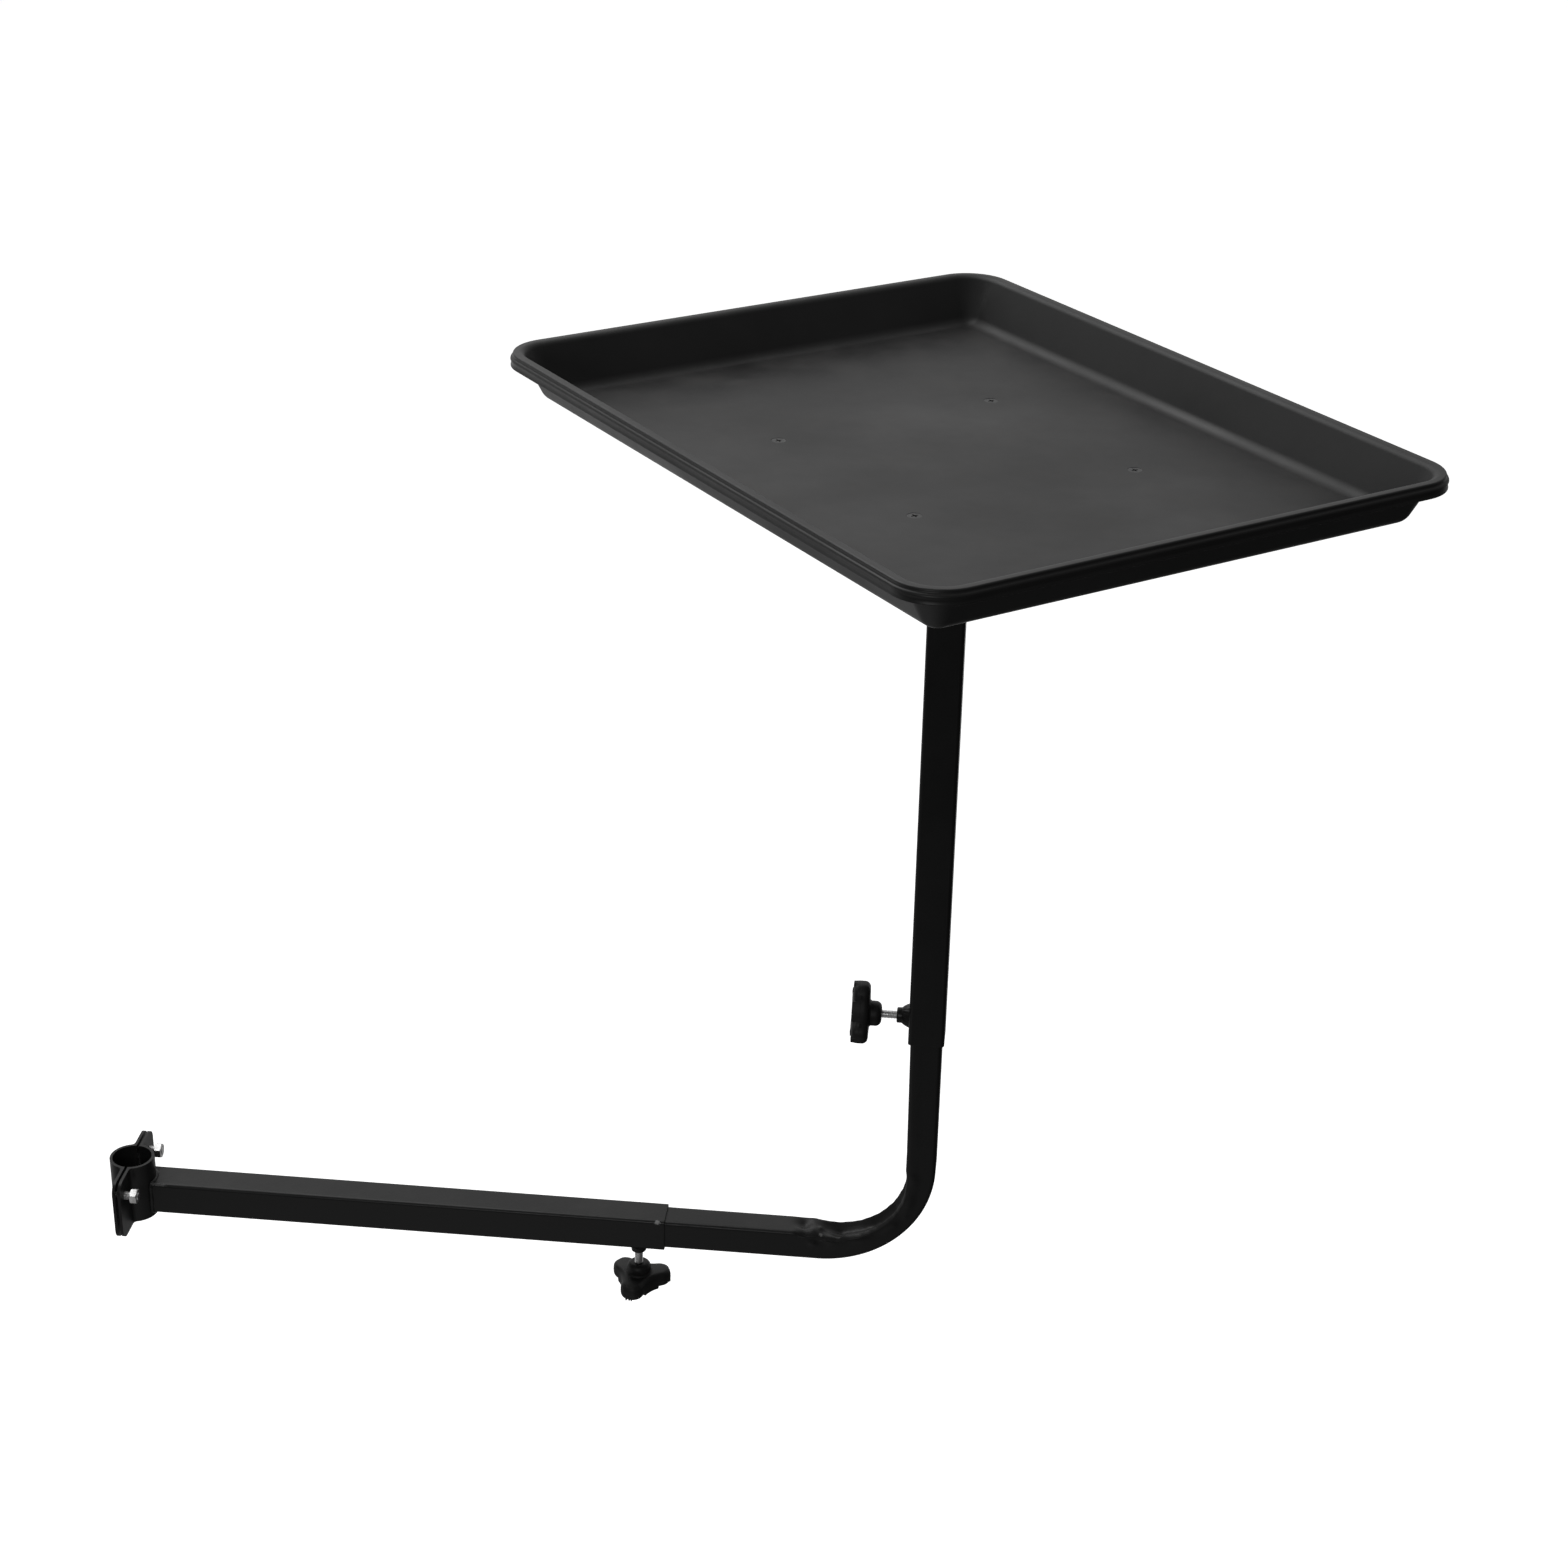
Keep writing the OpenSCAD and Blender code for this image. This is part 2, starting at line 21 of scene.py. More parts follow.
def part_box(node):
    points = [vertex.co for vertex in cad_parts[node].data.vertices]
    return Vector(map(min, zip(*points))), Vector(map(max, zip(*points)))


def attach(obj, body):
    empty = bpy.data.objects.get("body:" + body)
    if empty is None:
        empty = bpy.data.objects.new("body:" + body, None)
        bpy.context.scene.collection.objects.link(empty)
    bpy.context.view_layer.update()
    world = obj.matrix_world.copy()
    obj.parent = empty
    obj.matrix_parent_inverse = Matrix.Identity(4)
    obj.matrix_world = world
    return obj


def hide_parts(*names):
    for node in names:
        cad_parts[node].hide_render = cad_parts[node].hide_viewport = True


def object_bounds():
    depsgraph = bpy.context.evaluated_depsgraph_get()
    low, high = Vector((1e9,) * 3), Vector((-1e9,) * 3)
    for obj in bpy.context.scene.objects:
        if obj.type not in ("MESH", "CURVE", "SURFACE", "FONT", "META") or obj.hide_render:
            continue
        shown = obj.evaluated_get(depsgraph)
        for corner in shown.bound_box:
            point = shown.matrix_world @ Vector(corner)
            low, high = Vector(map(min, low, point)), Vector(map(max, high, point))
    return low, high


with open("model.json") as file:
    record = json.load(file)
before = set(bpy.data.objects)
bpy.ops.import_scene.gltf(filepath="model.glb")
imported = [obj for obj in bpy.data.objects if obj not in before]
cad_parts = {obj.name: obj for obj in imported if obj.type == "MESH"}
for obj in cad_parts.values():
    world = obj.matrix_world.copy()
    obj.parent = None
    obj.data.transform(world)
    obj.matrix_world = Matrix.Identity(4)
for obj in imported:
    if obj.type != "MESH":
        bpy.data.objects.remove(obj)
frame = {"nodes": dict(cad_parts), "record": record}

LOG = logging.getLogger("barber_chair_tray")
CAD_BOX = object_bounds()
MM = 0.001
FULL_TURN = 2 * math.pi
VALUE_OPERATIONS = ("DISTANCE", "DOT_PRODUCT", "LENGTH")


class Slot(Enum):
    """Material slots of the record."""

    COAT = "black_powder_coat"
    TRAY = "tray_plastic"
    KNOB = "knob_plastic"
    ZINC = "zinc_steel"
    SCREW = "black_screw"
    BUSH = "nylon_bush"


class Nodes:
    """Adds shader nodes to one tree and links them as they are made."""

    def __init__(self, tree: bpy.types.NodeTree) -> None:
        """Starts an empty tree.

        Args:
            tree: The material's, world's or group's node tree.
        """
        self.tree = tree
        tree.nodes.clear()

    def add(self, kind: str, inputs: dict[str | int, Any] | None = None, **settings: Any) -> bpy.types.Node:
        """Adds one node.

        Args:
            kind: The node's type name.
            inputs: Values or sockets for the node's inputs, by name or place.
            settings: Values for the node's own properties.

        Returns:
            The new node.
        """
        made = self.tree.nodes.new(kind)
        for name, value in settings.items():
            setattr(made, name, value)
        for key, value in (inputs or {}).items():
            if isinstance(value, bpy.types.NodeSocket):
                self.tree.links.new(value, made.inputs[key])
            else:
                made.inputs[key].default_value = value
        return made

    def math(self, operation: str, first: Any, second: Any = 0.0) -> bpy.types.NodeSocket:
        """Adds a Math node and returns its result.

        Args:
            operation: The node's operation, such as MULTIPLY.
            first: A value or socket.
            second: A value or socket.

        Returns:
            The result's socket.
        """
        return self.add("ShaderNodeMath", {0: first, 1: second}, operation=operation).outputs[0]

    def noise(self, vector: Any, scale: Any, detail: float = 2.0, roughness: float = 0.5) -> bpy.types.NodeSocket:
        """Adds a noise texture and returns its value.

        Args:
            vector: The socket with the coordinates.
            scale: Cells for each metre.
            detail: Octaves of finer noise.
            roughness: Strength of the finer octaves.

        Returns:
            The value's socket.
        """
        inputs = {"Vector": vector, "Scale": scale, "Detail": detail, "Roughness": roughness}
        return self.add("ShaderNodeTexNoise", inputs).outputs[0]

    def span(self, value: Any, low: float, high: float, to_low: Any = 0.0, to_high: Any = 1.0) -> bpy.types.NodeSocket:
        """Maps a stretch of values onto another, clamped, and returns the result.

        Args:
            value: The socket to map.
            low: Value that gives to_low.
            high: Value that gives to_high.
            to_low: Result at low.
            to_high: Result at high.

        Returns:
            The result's socket.
        """
        inputs = {"Value": value, "From Min": low, "From Max": high, "To Min": to_low, "To Max": to_high}
        return self.add("ShaderNodeMapRange", inputs).outputs[0]

    def blend(self, amount: Any, first: Any, second: Any) -> bpy.types.NodeSocket:
        """Mixes two colours and returns the result.

        Args:
            amount: Share of the second colour.
            first: A colour or socket.
            second: A colour or socket.

        Returns:
            The mixed colour's socket.
        """
        return self.add("ShaderNodeMix", {0: amount, 6: first, 7: second}, data_type="RGBA").outputs[2]

    def vector(self, operation: str, first: Any, second: Any = (0.0, 0.0, 0.0)) -> bpy.types.NodeSocket:
        """Adds a Vector Math node and returns its vector, or its value where it gives one.

        Args:
            operation: The node's operation, such as DISTANCE.
            first: A vector or socket.
            second: A vector or socket.

        Returns:
            The result's socket.
        """
        made = self.add("ShaderNodeVectorMath", {0: first, 1: second}, operation=operation)
        return made.outputs["Value" if operation in VALUE_OPERATIONS else "Vector"]

    def relief(self, height: Any, distance: float) -> bpy.types.NodeSocket:
        """Adds a bump and returns its normal.

        Args:
            height: The socket with the height, from 0 to 1.
            distance: Height that 1 stands for, in metres.

        Returns:
            The normal's socket.
        """
        return self.add("ShaderNodeBump", {"Height": height, "Strength": 1.0, "Distance": distance}).outputs["Normal"]


def new_material(name: str) -> tuple[bpy.types.Material, Nodes, bpy.types.NodeSocket]:
    """Starts a node material.

    Args:
        name: The material's name.

    Returns:
        The material, its nodes and the socket with the Object coordinates.
    """
    material = bpy.data.materials.new(name)
    material.use_nodes = True
    nodes = Nodes(material.node_tree)
    return material, nodes, nodes.add("ShaderNodeTexCoord").outputs["Object"]


def grey(level: float, warmth: float = 0.0) -> tuple[float, float, float, float]:
    """Gives a nearly neutral colour.

    Args:
        level: Brightness, linear.
        warmth: Share by which red gains and blue loses.

    Returns:
        The colour with full alpha.
    """
    return (level * (1 + warmth), level, level * (1 - warmth), 1.0)


class Effects:
    """Shader node groups that more than one finish uses."""

    def __init__(self) -> None:
        """Builds every group once."""
        self.grain = self._grain()
        self.wear_and_highlight = self._wear_and_highlight()
        self.dust = self._dust()

    @staticmethod
    def _group(name: str, inputs: dict[str, float], outputs: Iterable[str]) -> tuple[Nodes, Any]:
        """Starts a group with its sockets.

        Args:
            name: The group's name.
            inputs: Start value of each value input after the first one, which is Vector.
            outputs: Names of the value outputs.

        Returns:
            The group's nodes and the outputs of its input node.
        """
        tree = bpy.data.node_groups.new(name, "ShaderNodeTree")
        tree.interface.new_socket("Vector", in_out="INPUT", socket_type="NodeSocketVector")
        for label, value in inputs.items():
            socket = tree.interface.new_socket(label, in_out="INPUT", socket_type="NodeSocketFloat")
            socket.default_value = value
        for label in outputs:
            tree.interface.new_socket(label, in_out="OUTPUT", socket_type="NodeSocketFloat")
        nodes = Nodes(tree)
        return nodes, nodes.add("NodeGroupInput").outputs

    def _grain(self) -> bpy.types.NodeTree:
        """Builds the fine relief of a moulded or sprayed surface.

        Returns:
            A group with Height and Tone outputs, both from 0 to 1.
        """
        inputs = {"Fine": 1500.0, "Broad": 12.0, "Share": 0.3}
        nodes, start = self._group("surface_grain", inputs, ("Height", "Tone"))
        fine = nodes.noise(start["Vector"], start["Fine"], 2.0, 0.55)
        peel = nodes.noise(start["Vector"], nodes.math("MULTIPLY", start["Fine"], 0.22), 1.0)
        broad = nodes.noise(start["Vector"], start["Broad"], 4.0, 0.6)
        height = nodes.math("ADD", fine, nodes.math("MULTIPLY", peel, start["Share"]))
        nodes.add("NodeGroupOutput", {"Height": height, "Tone": nodes.span(broad, 0.3, 0.7)})
        return nodes.tree

    def _wear_and_highlight(self) -> bpy.types.NodeTree:
        """Builds a mask of edges that hands and tools have rubbed, which also paints a highlight along the edges.

        Returns:
            A group with one Mask output.
        """
        nodes, start = self._group("edge_wear_and_highlight", {"Radius": 0.8 * MM, "Scale": 130.0, "Amount": 0.5}, ("Mask",))
        rounded = nodes.add("ShaderNodeBevel", {"Radius": start["Radius"]}, samples=4).outputs["Normal"]
        flat = nodes.add("ShaderNodeNewGeometry").outputs["Normal"]
        edge = nodes.span(nodes.vector("DOT_PRODUCT", rounded, flat), 0.99, 0.9)
        patch = nodes.span(nodes.noise(start["Vector"], start["Scale"], 3.0, 0.6), 0.5, 0.62)
        mask = nodes.math("MULTIPLY", nodes.math("MULTIPLY", edge, patch), start["Amount"])
        nodes.add("NodeGroupOutput", {"Mask": mask})
        return nodes.tree

    def _dust(self) -> bpy.types.NodeTree:
        """Builds a mask of thin dust and wiping marks on surfaces that face up.

        Returns:
            A group with one Mask output.
        """
        nodes, start = self._group("settled_dust", {"Scale": 25.0, "Amount": 0.3}, ("Mask",))
        facing = nodes.add("ShaderNodeSeparateXYZ", {0: nodes.add("ShaderNodeNewGeometry").outputs["Normal"]})
        up = nodes.span(facing.outputs["Z"], 0.5, 1.0)
        cloud = nodes.span(nodes.noise(start["Vector"], start["Scale"], 5.0, 0.65), 0.42, 0.68)
        mask = nodes.math("MULTIPLY", nodes.math("MULTIPLY", up, cloud), start["Amount"])
        nodes.add("NodeGroupOutput", {"Mask": mask})
        return nodes.tree


@dataclass(frozen=True)
class PaintedGlint:
    """A painted glint: a small patch lighter in colour where a highlight falls on the finish.

    Attributes:
        place: Its middle.
        reach: Half its size along X, Y and Z.
        bare_and_highlight: Brightness of the painted glint, linear.
    """

    place: tuple[float, float, float]
    reach: tuple[float, float, float]
    bare_and_highlight: float

    def mask(self, nodes: Nodes, place: bpy.types.NodeSocket) -> bpy.types.NodeSocket:
        """Builds the mark's mask, with a ragged edge.

        Args:
            nodes: The material's nodes.
            place: The socket with the coordinates.

        Returns:
            The mask's socket.
        """
        offset = nodes.vector("SUBTRACT", place, self.place)
        distance = nodes.vector("LENGTH", nodes.vector("DIVIDE", offset, self.reach))
        ragged = nodes.math("ADD", distance, nodes.span(nodes.noise(place, 900.0, 3.0, 0.6), 0.3, 0.7, -0.4, 0.4))
        return nodes.span(ragged, 1.0, 0.7)


@dataclass(frozen=True)
class BlackFinish:
    """A black finish, sprayed or moulded, with grain, wear, dust, a painted highlight along its edges and painted
    glints.

    Attributes:
        name: Name of the material.
        base: Brightness of its colour, linear.
        mottle: How far the colour gets lighter in patches.
        roughness: Roughness between patches.
        roughness_spread: How much the patches differ.
        specular: Specular level of the surface.
        fine: Grain cells for each metre.
        broad: Patches for each metre.
        relief: Height of the grain, in metres.
        wear_and_highlight: Strength of the rubbed edges and of the painted highlight along them.
        bare_and_highlight: Brightness of a rubbed edge and of the painted highlight there.
        dust: Strength of the dust on top.
        marks: Painted glints, each a small patch lighter in colour where a highlight falls.
    """

    name: str
    base: float
    mottle: float = 0.3
    roughness: float = 0.45
    roughness_spread: float = 0.1
    specular: float = 0.3
    fine: float = 1500.0
    broad: float = 12.0
    relief: float = 0.04 * MM
    wear_and_highlight: float = 0.3
    bare_and_highlight: float = 0.06
    dust: float = 0.3
    marks: tuple[PaintedGlint, ...] = ()

    def build(self, effects: Effects) -> bpy.types.Material:
        """Makes the material.

        Args:
            effects: The shared groups.

        Returns:
            The finished material.
        """
        material, nodes, place = new_material(self.name)
        inputs = {"Vector": place, "Fine": self.fine, "Broad": self.broad}
        grain = nodes.add("ShaderNodeGroup", inputs, node_tree=effects.grain).outputs
        wear_and_highlight = nodes.add("ShaderNodeGroup", {"Vector": place, "Amount": self.wear_and_highlight}, node_tree=effects.wear_and_highlight).outputs[0]
        dust = nodes.add("ShaderNodeGroup", {"Vector": place, "Amount": self.dust}, node_tree=effects.dust).outputs[0]
        tone = grain["Tone"]
        colour = nodes.blend(tone, grey(self.base), grey(self.base * (1 + self.mottle)))
        # Rubbed edges, lighter in colour, which also paint a highlight along the edges.
        colour = nodes.blend(wear_and_highlight, colour, grey(self.bare_and_highlight))
        colour = nodes.blend(dust, colour, grey(self.base * 2.5 + 0.01, 0.03))
        # Painted glints: small patches lighter in colour where highlights fall.
        for mark in self.marks:
            colour = nodes.blend(mark.mask(nodes, place), colour, grey(mark.bare_and_highlight))
        low = self.roughness - self.roughness_spread / 2
        rough = nodes.span(tone, 0.0, 1.0, low, low + self.roughness_spread)
        inputs = {
            "Base Color": colour,
            "Roughness": nodes.math("ADD", rough, nodes.math("MULTIPLY", dust, 0.12)),
            "Normal": nodes.relief(grain["Height"], self.relief),
            "Specular IOR Level": self.specular,
        }
        shader = nodes.add("ShaderNodeBsdfPrincipled", inputs)
        nodes.add("ShaderNodeOutputMaterial", {"Surface": shader.outputs["BSDF"]})
        return material


@dataclass(frozen=True)
class PlatedSteel:
    """Bright zinc plating with faint drawn lines and dull spots.

    Attributes:
        name: Name of the material.
        base: Brightness of its colour, linear.
        dull: Brightness of the dull spots.
        roughness: Roughness of clean plating.
        fine: Grain cells for each metre.
        broad: Dull spots for each metre.
        relief: Height of the grain, in metres.
    """

    name: str
    base: float = 0.78
    dull: float = 0.5
    roughness: float = 0.28
    fine: float = 2600.0
    broad: float = 160.0
    relief: float = 0.008 * MM

    def build(self, effects: Effects) -> bpy.types.Material:
        """Makes the material.

        Args:
            effects: The shared groups.

        Returns:
            The finished material.
        """
        material, nodes, place = new_material(self.name)
        inputs = {"Vector": place, "Fine": self.fine, "Broad": self.broad}
        grain = nodes.add("ShaderNodeGroup", inputs, node_tree=effects.grain).outputs
        tone = grain["Tone"]
        inputs = {
            "Base Color": nodes.blend(nodes.span(tone, 0.55, 1.0, 0.0, 0.6), grey(self.base), grey(self.dull, 0.03)),
            "Metallic": 1.0,
            "Roughness": nodes.span(tone, 0.0, 1.0, self.roughness, self.roughness + 0.16),
            "Normal": nodes.relief(grain["Height"], self.relief),
        }
        shader = nodes.add("ShaderNodeBsdfPrincipled", inputs)
        nodes.add("ShaderNodeOutputMaterial", {"Surface": shader.outputs["BSDF"]})
        return material


@dataclass(frozen=True)
class PhotoCamera:
    """The camera that the photograph was fitted with.

    Attributes:
        place: Where it stands.
        azimuth: Turn of its view to the left of +Y, in degrees.
        elevation: How far it looks down, in degrees.
        roll: Turn about its view, in degrees.
        focal_px: Focal length, in pixels of the photograph.
        image_px: Width and height of the photograph.
        sensor_mm: Width of the sensor.
    """

    place: tuple[float, float, float] = (0.6254, -1.7153, 1.2020)
    azimuth: float = 5.19
    elevation: float = 25.97
    roll: float = 1.26
    focal_px: float = 2890.3
    image_px: int = 1568
    sensor_mm: float = 36.0

    def build(self) -> bpy.types.Object:
        """Adds the camera and makes it the scene's.

        Returns:
            The camera's object.
        """
        side, down, turn = (math.radians(a) for a in (self.azimuth, self.elevation, self.roll))
        view = Vector((-math.sin(side) * math.cos(down), math.cos(side) * math.cos(down), -math.sin(down)))
        right = Vector((math.cos(side), math.sin(side), 0.0))
        up = right.cross(view)
        tilted_right = right * math.cos(turn) + up * math.sin(turn)
        tilted_up = up * math.cos(turn) - right * math.sin(turn)
        data = bpy.data.cameras.new("photo_camera")
        data.sensor_fit = "HORIZONTAL"
        data.sensor_width = self.sensor_mm
        data.lens = self.focal_px / self.image_px * self.sensor_mm
        data.clip_start = 0.05
        data.clip_end = 100.0
        camera = bpy.data.objects.new("photo_camera", data)
        rotation = Matrix((tilted_right, tilted_up, -view)).transposed().to_4x4()
        camera.matrix_world = Matrix.Translation(self.place) @ rotation
        bpy.context.scene.collection.objects.link(camera)
        bpy.context.scene.camera = camera
        return camera


@dataclass
class Studio:
    """A white floor and soft light, stronger from behind and on the left of the floor.

    Attributes:
        floor_z: Height of the floor.
        floor_size: Width and depth of the floor.
        bright_side: Direction that the light mostly comes from.
        dim: Brightness of the studio on its dark side.
        bright: Brightness of the studio on its light side.
        falloff: How fast the studio gets darker away from its light side.
        bounce: Share of light that the floor throws back at the object.
        pool: Brightness of the light pool in front of the object.
        pool_place: Middle of the pool on the floor.
        pool_size: Radius of the pool.
        glow: Brightness of the floor on the light side.
        glow_side: Direction on the floor towards the light side.
        glow_reach: How far out on that side the glow is full.
        floor_glow: Brightness that the camera sees the floor give off.
        floor_white: Brightness of the floor's colour to the camera.
    """

    floor_z: float = -0.40
    floor_size: float = 60.0
    bright_side: tuple[float, float, float] = (-0.22, 0.86, 0.45)
    dim: float = 0.12
    bright: float = 0.81
    falloff: float = 5.5
    bounce: float = 0.07
    pool: float = 0.43
    pool_place: tuple[float, float] = (0.10, -0.60)
    pool_size: float = 0.6
    glow: float = 0.8
    glow_side: tuple[float, float] = (-0.45, 0.78)
    glow_reach: float = 1.2
    floor_glow: float = 0.75
    floor_white: float = 0.9

    def build(self) -> None:
        """Adds the world, the floor and the lamps."""
        scene = bpy.context.scene
        scene.view_settings.view_transform = "Standard"
        self._world(scene)
        self._floor(scene)
        centre = (CAD_BOX[0] + CAD_BOX[1]) / 2
        self._lamp("top_softbox", (-0.5, 0.7, 2.3), centre, size=1.8, power=26.0)
        self._lamp("front_strip", (0.1, -2.2, 1.0), centre, size=0.45, power=6.0)

    def _world(self, scene: bpy.types.Scene) -> None:
        """Adds the surroundings: white to the camera, graded for light and gloss.

        Args:
            scene: The scene that they light.
        """
        world = bpy.data.worlds.new("studio")
        world.use_nodes = True
        scene.world = world
        nodes = Nodes(world.node_tree)
        towards = nodes.add("ShaderNodeTexCoord").outputs["Generated"]
        match = nodes.vector("DOT_PRODUCT", towards, Vector(self.bright_side).normalized())
        share = nodes.math("POWER", nodes.span(match, -1.0, 1.0), self.falloff)
        strength = nodes.span(share, 0.0, 1.0, self.dim, self.bright)
        graded = nodes.add("ShaderNodeBackground", {"Color": grey(1.0), "Strength": strength})
        white = nodes.add("ShaderNodeBackground", {"Color": grey(1.0), "Strength": 1.0})
        seen = nodes.add("ShaderNodeLightPath").outputs["Is Camera Ray"]
        mixed = nodes.add("ShaderNodeMixShader", {0: seen, 1: graded.outputs[0], 2: white.outputs[0]})
        nodes.add("ShaderNodeOutputWorld", {"Surface": mixed.outputs[0]})

    def _floor(self, scene: bpy.types.Scene) -> None:
        """Adds the floor, white to the camera and with the object's shadow.

        Args:
            scene: The scene that it belongs to.
        """
        mesh = bpy.data.meshes.new("floor")
        shape = bmesh.new()
        bmesh.ops.create_grid(shape, x_segments=1, y_segments=1, size=self.floor_size / 2)
        bmesh.ops.translate(shape, verts=shape.verts, vec=(0.0, 0.0, self.floor_z))
        shape.to_mesh(mesh)
        shape.free()
        floor = bpy.data.objects.new("floor", mesh)
        scene.collection.objects.link(floor)
        material, nodes, place = new_material("white_floor")
        seen = nodes.add("ShaderNodeLightPath").outputs["Is Camera Ray"]
        offset = nodes.vector("DISTANCE", place, (*self.pool_place, self.floor_z))
        ratio = nodes.math("DIVIDE", offset, self.pool_size)
        pool = nodes.math("EXPONENT", nodes.math("MULTIPLY", nodes.math("MULTIPLY", ratio, ratio), -1.0))
        side = nodes.vector("DOT_PRODUCT", place, (*self.glow_side, 0.0))
        glow = nodes.span(side, 0.0, self.glow_reach, 0.0, self.glow)
        unseen = nodes.math("ADD", nodes.math("MULTIPLY", pool, self.pool), glow)
        strength = nodes.span(seen, 0.0, 1.0, unseen, self.floor_glow)
        colour = nodes.blend(seen, grey(self.bounce), grey(self.floor_white))
        matt = nodes.add("ShaderNodeBsdfDiffuse", {"Color": colour})
        lift = nodes.add("ShaderNodeEmission", {"Color": grey(1.0), "Strength": strength})
        both = nodes.add("ShaderNodeAddShader", {0: matt.outputs[0], 1: lift.outputs[0]})
        nodes.add("ShaderNodeOutputMaterial", {"Surface": both.outputs[0]})
        mesh.materials.append(material)

    @staticmethod
    def _lamp(name: str, place: tuple[float, float, float], target: Vector, size: float, power: float) -> None:
        """Adds a square softbox.

        Args:
            name: The lamp's name.
            place: Where it hangs.
            target: What it points at.
            size: Its width.
            power: Its power in watts.
        """
        data = bpy.data.lights.new(name, "AREA")
        data.size = size
        data.energy = power
        lamp = bpy.data.objects.new(name, data)
        lamp.location = place
        lamp.rotation_euler = (target - Vector(place)).to_track_quat("-Z", "Y").to_euler()
        bpy.context.scene.collection.objects.link(lamp)


class Finishes:
    """The finished materials, one for each slot of the record."""

    def __init__(self) -> None:
        """Builds every material once."""
        effects = Effects()
        recipes = {
            Slot.COAT: BlackFinish(
                "powder_coat",
                base=0.012, roughness=0.34, specular=0.22, fine=900.0, broad=18.0, relief=0.05 * MM,
                marks=(
                    # Painted highlight on the arm's top front corner near its open end.
                    PaintedGlint((0.386, -0.0078, 0.0122), (2.4 * MM, 1.6 * MM, 2.4 * MM), 0.3),
                    # Painted light line along the arm's near top edge by the clamp.
                    PaintedGlint((0.0205, -0.0074, 0.0124), (7.5 * MM, 1.3 * MM, 1.6 * MM), 0.10),
                    # Painted glint on the tube's front wall by the bend.
                    PaintedGlint((0.5035, -0.003, 0.009), (1.6 * MM, 1.6 * MM, 3.0 * MM), 0.12),
                ),
            ),
            Slot.TRAY: BlackFinish(
                "tray_moulding",
                base=0.015, mottle=0.6, roughness=0.46, roughness_spread=0.17,
                fine=2200.0, broad=9.0, relief=0.02 * MM, wear_and_highlight=0.15, dust=0.5,
            ),
            Slot.KNOB: BlackFinish(
                "knob_moulding", base=0.009, roughness=0.5, fine=1800.0, broad=60.0, wear_and_highlight=0.4, dust=0.1
            ),
            Slot.ZINC: PlatedSteel("zinc_plating"),
            # The screw heads' rims get a strong painted highlight together with their wear.
            Slot.SCREW: BlackFinish(
                "blackened_steel",
                base=0.006, roughness=0.38, specular=0.5, fine=2600.0, broad=200.0,
                relief=0.01 * MM, wear_and_highlight=0.7, bare_and_highlight=0.12, dust=0.0,
            ),
            Slot.BUSH: BlackFinish("bush_moulding", base=0.02, roughness=0.5, wear_and_highlight=0.0, dust=0.0),
        }
        self.materials = {slot: recipe.build(effects) for slot, recipe in recipes.items()}

    def dress_nodes(self) -> None:
        """Gives every CAD node the material of its slot."""
        slots = {part["node"]: Slot(part["material_slot"]) for part in frame["record"]["subparts"]}
        for name, piece in frame["nodes"].items():
            piece.data.materials.clear()
            piece.data.materials.append(self.materials[slots[name]])
            LOG.info("dressed %s as %s", name, slots[name].value)


class Bench:
    """Turns finished bmeshes into pieces of the object."""

    def __init__(self, finishes: Finishes) -> None:
        """Keeps the finishes and notes which body carries each node.

        Args:
            finishes: The finished materials.
        """
        self.finishes = finishes
        bodies = frame["record"]["behaviour"]["bodies"]
        self.body_of = {node: body for body, nodes in bodies.items() for node in nodes}

    def place(
        self,
        name: str,
        shape: bmesh.types.BMesh,
        slot: Slot,
        near: str,
        replaces: Iterable[str] = (),
        crease: float = 32.0,
    ) -> bpy.types.Object:
        """Makes a piece from a bmesh and lets it ride.

        Args:
            name: The piece's name.
            shape: The finished bmesh, which is freed.
            slot: The slot that the piece takes its finish from.
            near: The CAD node whose body carries it.
            replaces: The CAD nodes that it stands for.
            crease: Angle in degrees above which an edge stays sharp.

        Returns:
            The piece.
        """
        mesh = bpy.data.meshes.new(name)
        shape.to_mesh(mesh)
        shape.free()
        mesh.shade_smooth()
        mesh.set_sharp_from_angle(angle=math.radians(crease))
        mesh.materials.append(self.finishes.materials[slot])
        piece = bpy.data.objects.new(name, mesh)
        bpy.context.scene.collection.objects.link(piece)
        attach(piece, self.body_of[near])
        if replaces:
            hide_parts(*replaces)
        LOG.info("placed %s with %d faces", name, len(mesh.polygons))
        return piece


def lathe(profile: Iterable[tuple[float, float]], steps: int) -> bmesh.types.BMesh:
    """Spins a profile of (radius, height) round +Z into a closed shape.

    Args:
        profile: Points of the half section, from one end of the axis to the other.
        steps: Faces round the axis.

    Returns:
        The closed bmesh.
    """
    shape = bmesh.new()
    points = [shape.verts.new((radius, 0.0, height)) for radius, height in profile]
    edges = [shape.edges.new(pair) for pair in zip(points, points[1:])]
    bmesh.ops.spin(
        shape, geom=points + edges, cent=(0, 0, 0), axis=(0, 0, 1), angle=FULL_TURN, steps=steps, use_merge=True
    )
    bmesh.ops.remove_doubles(shape, verts=shape.verts, dist=0.002 * MM)
    bmesh.ops.recalc_face_normals(shape, faces=shape.faces)
    return shape


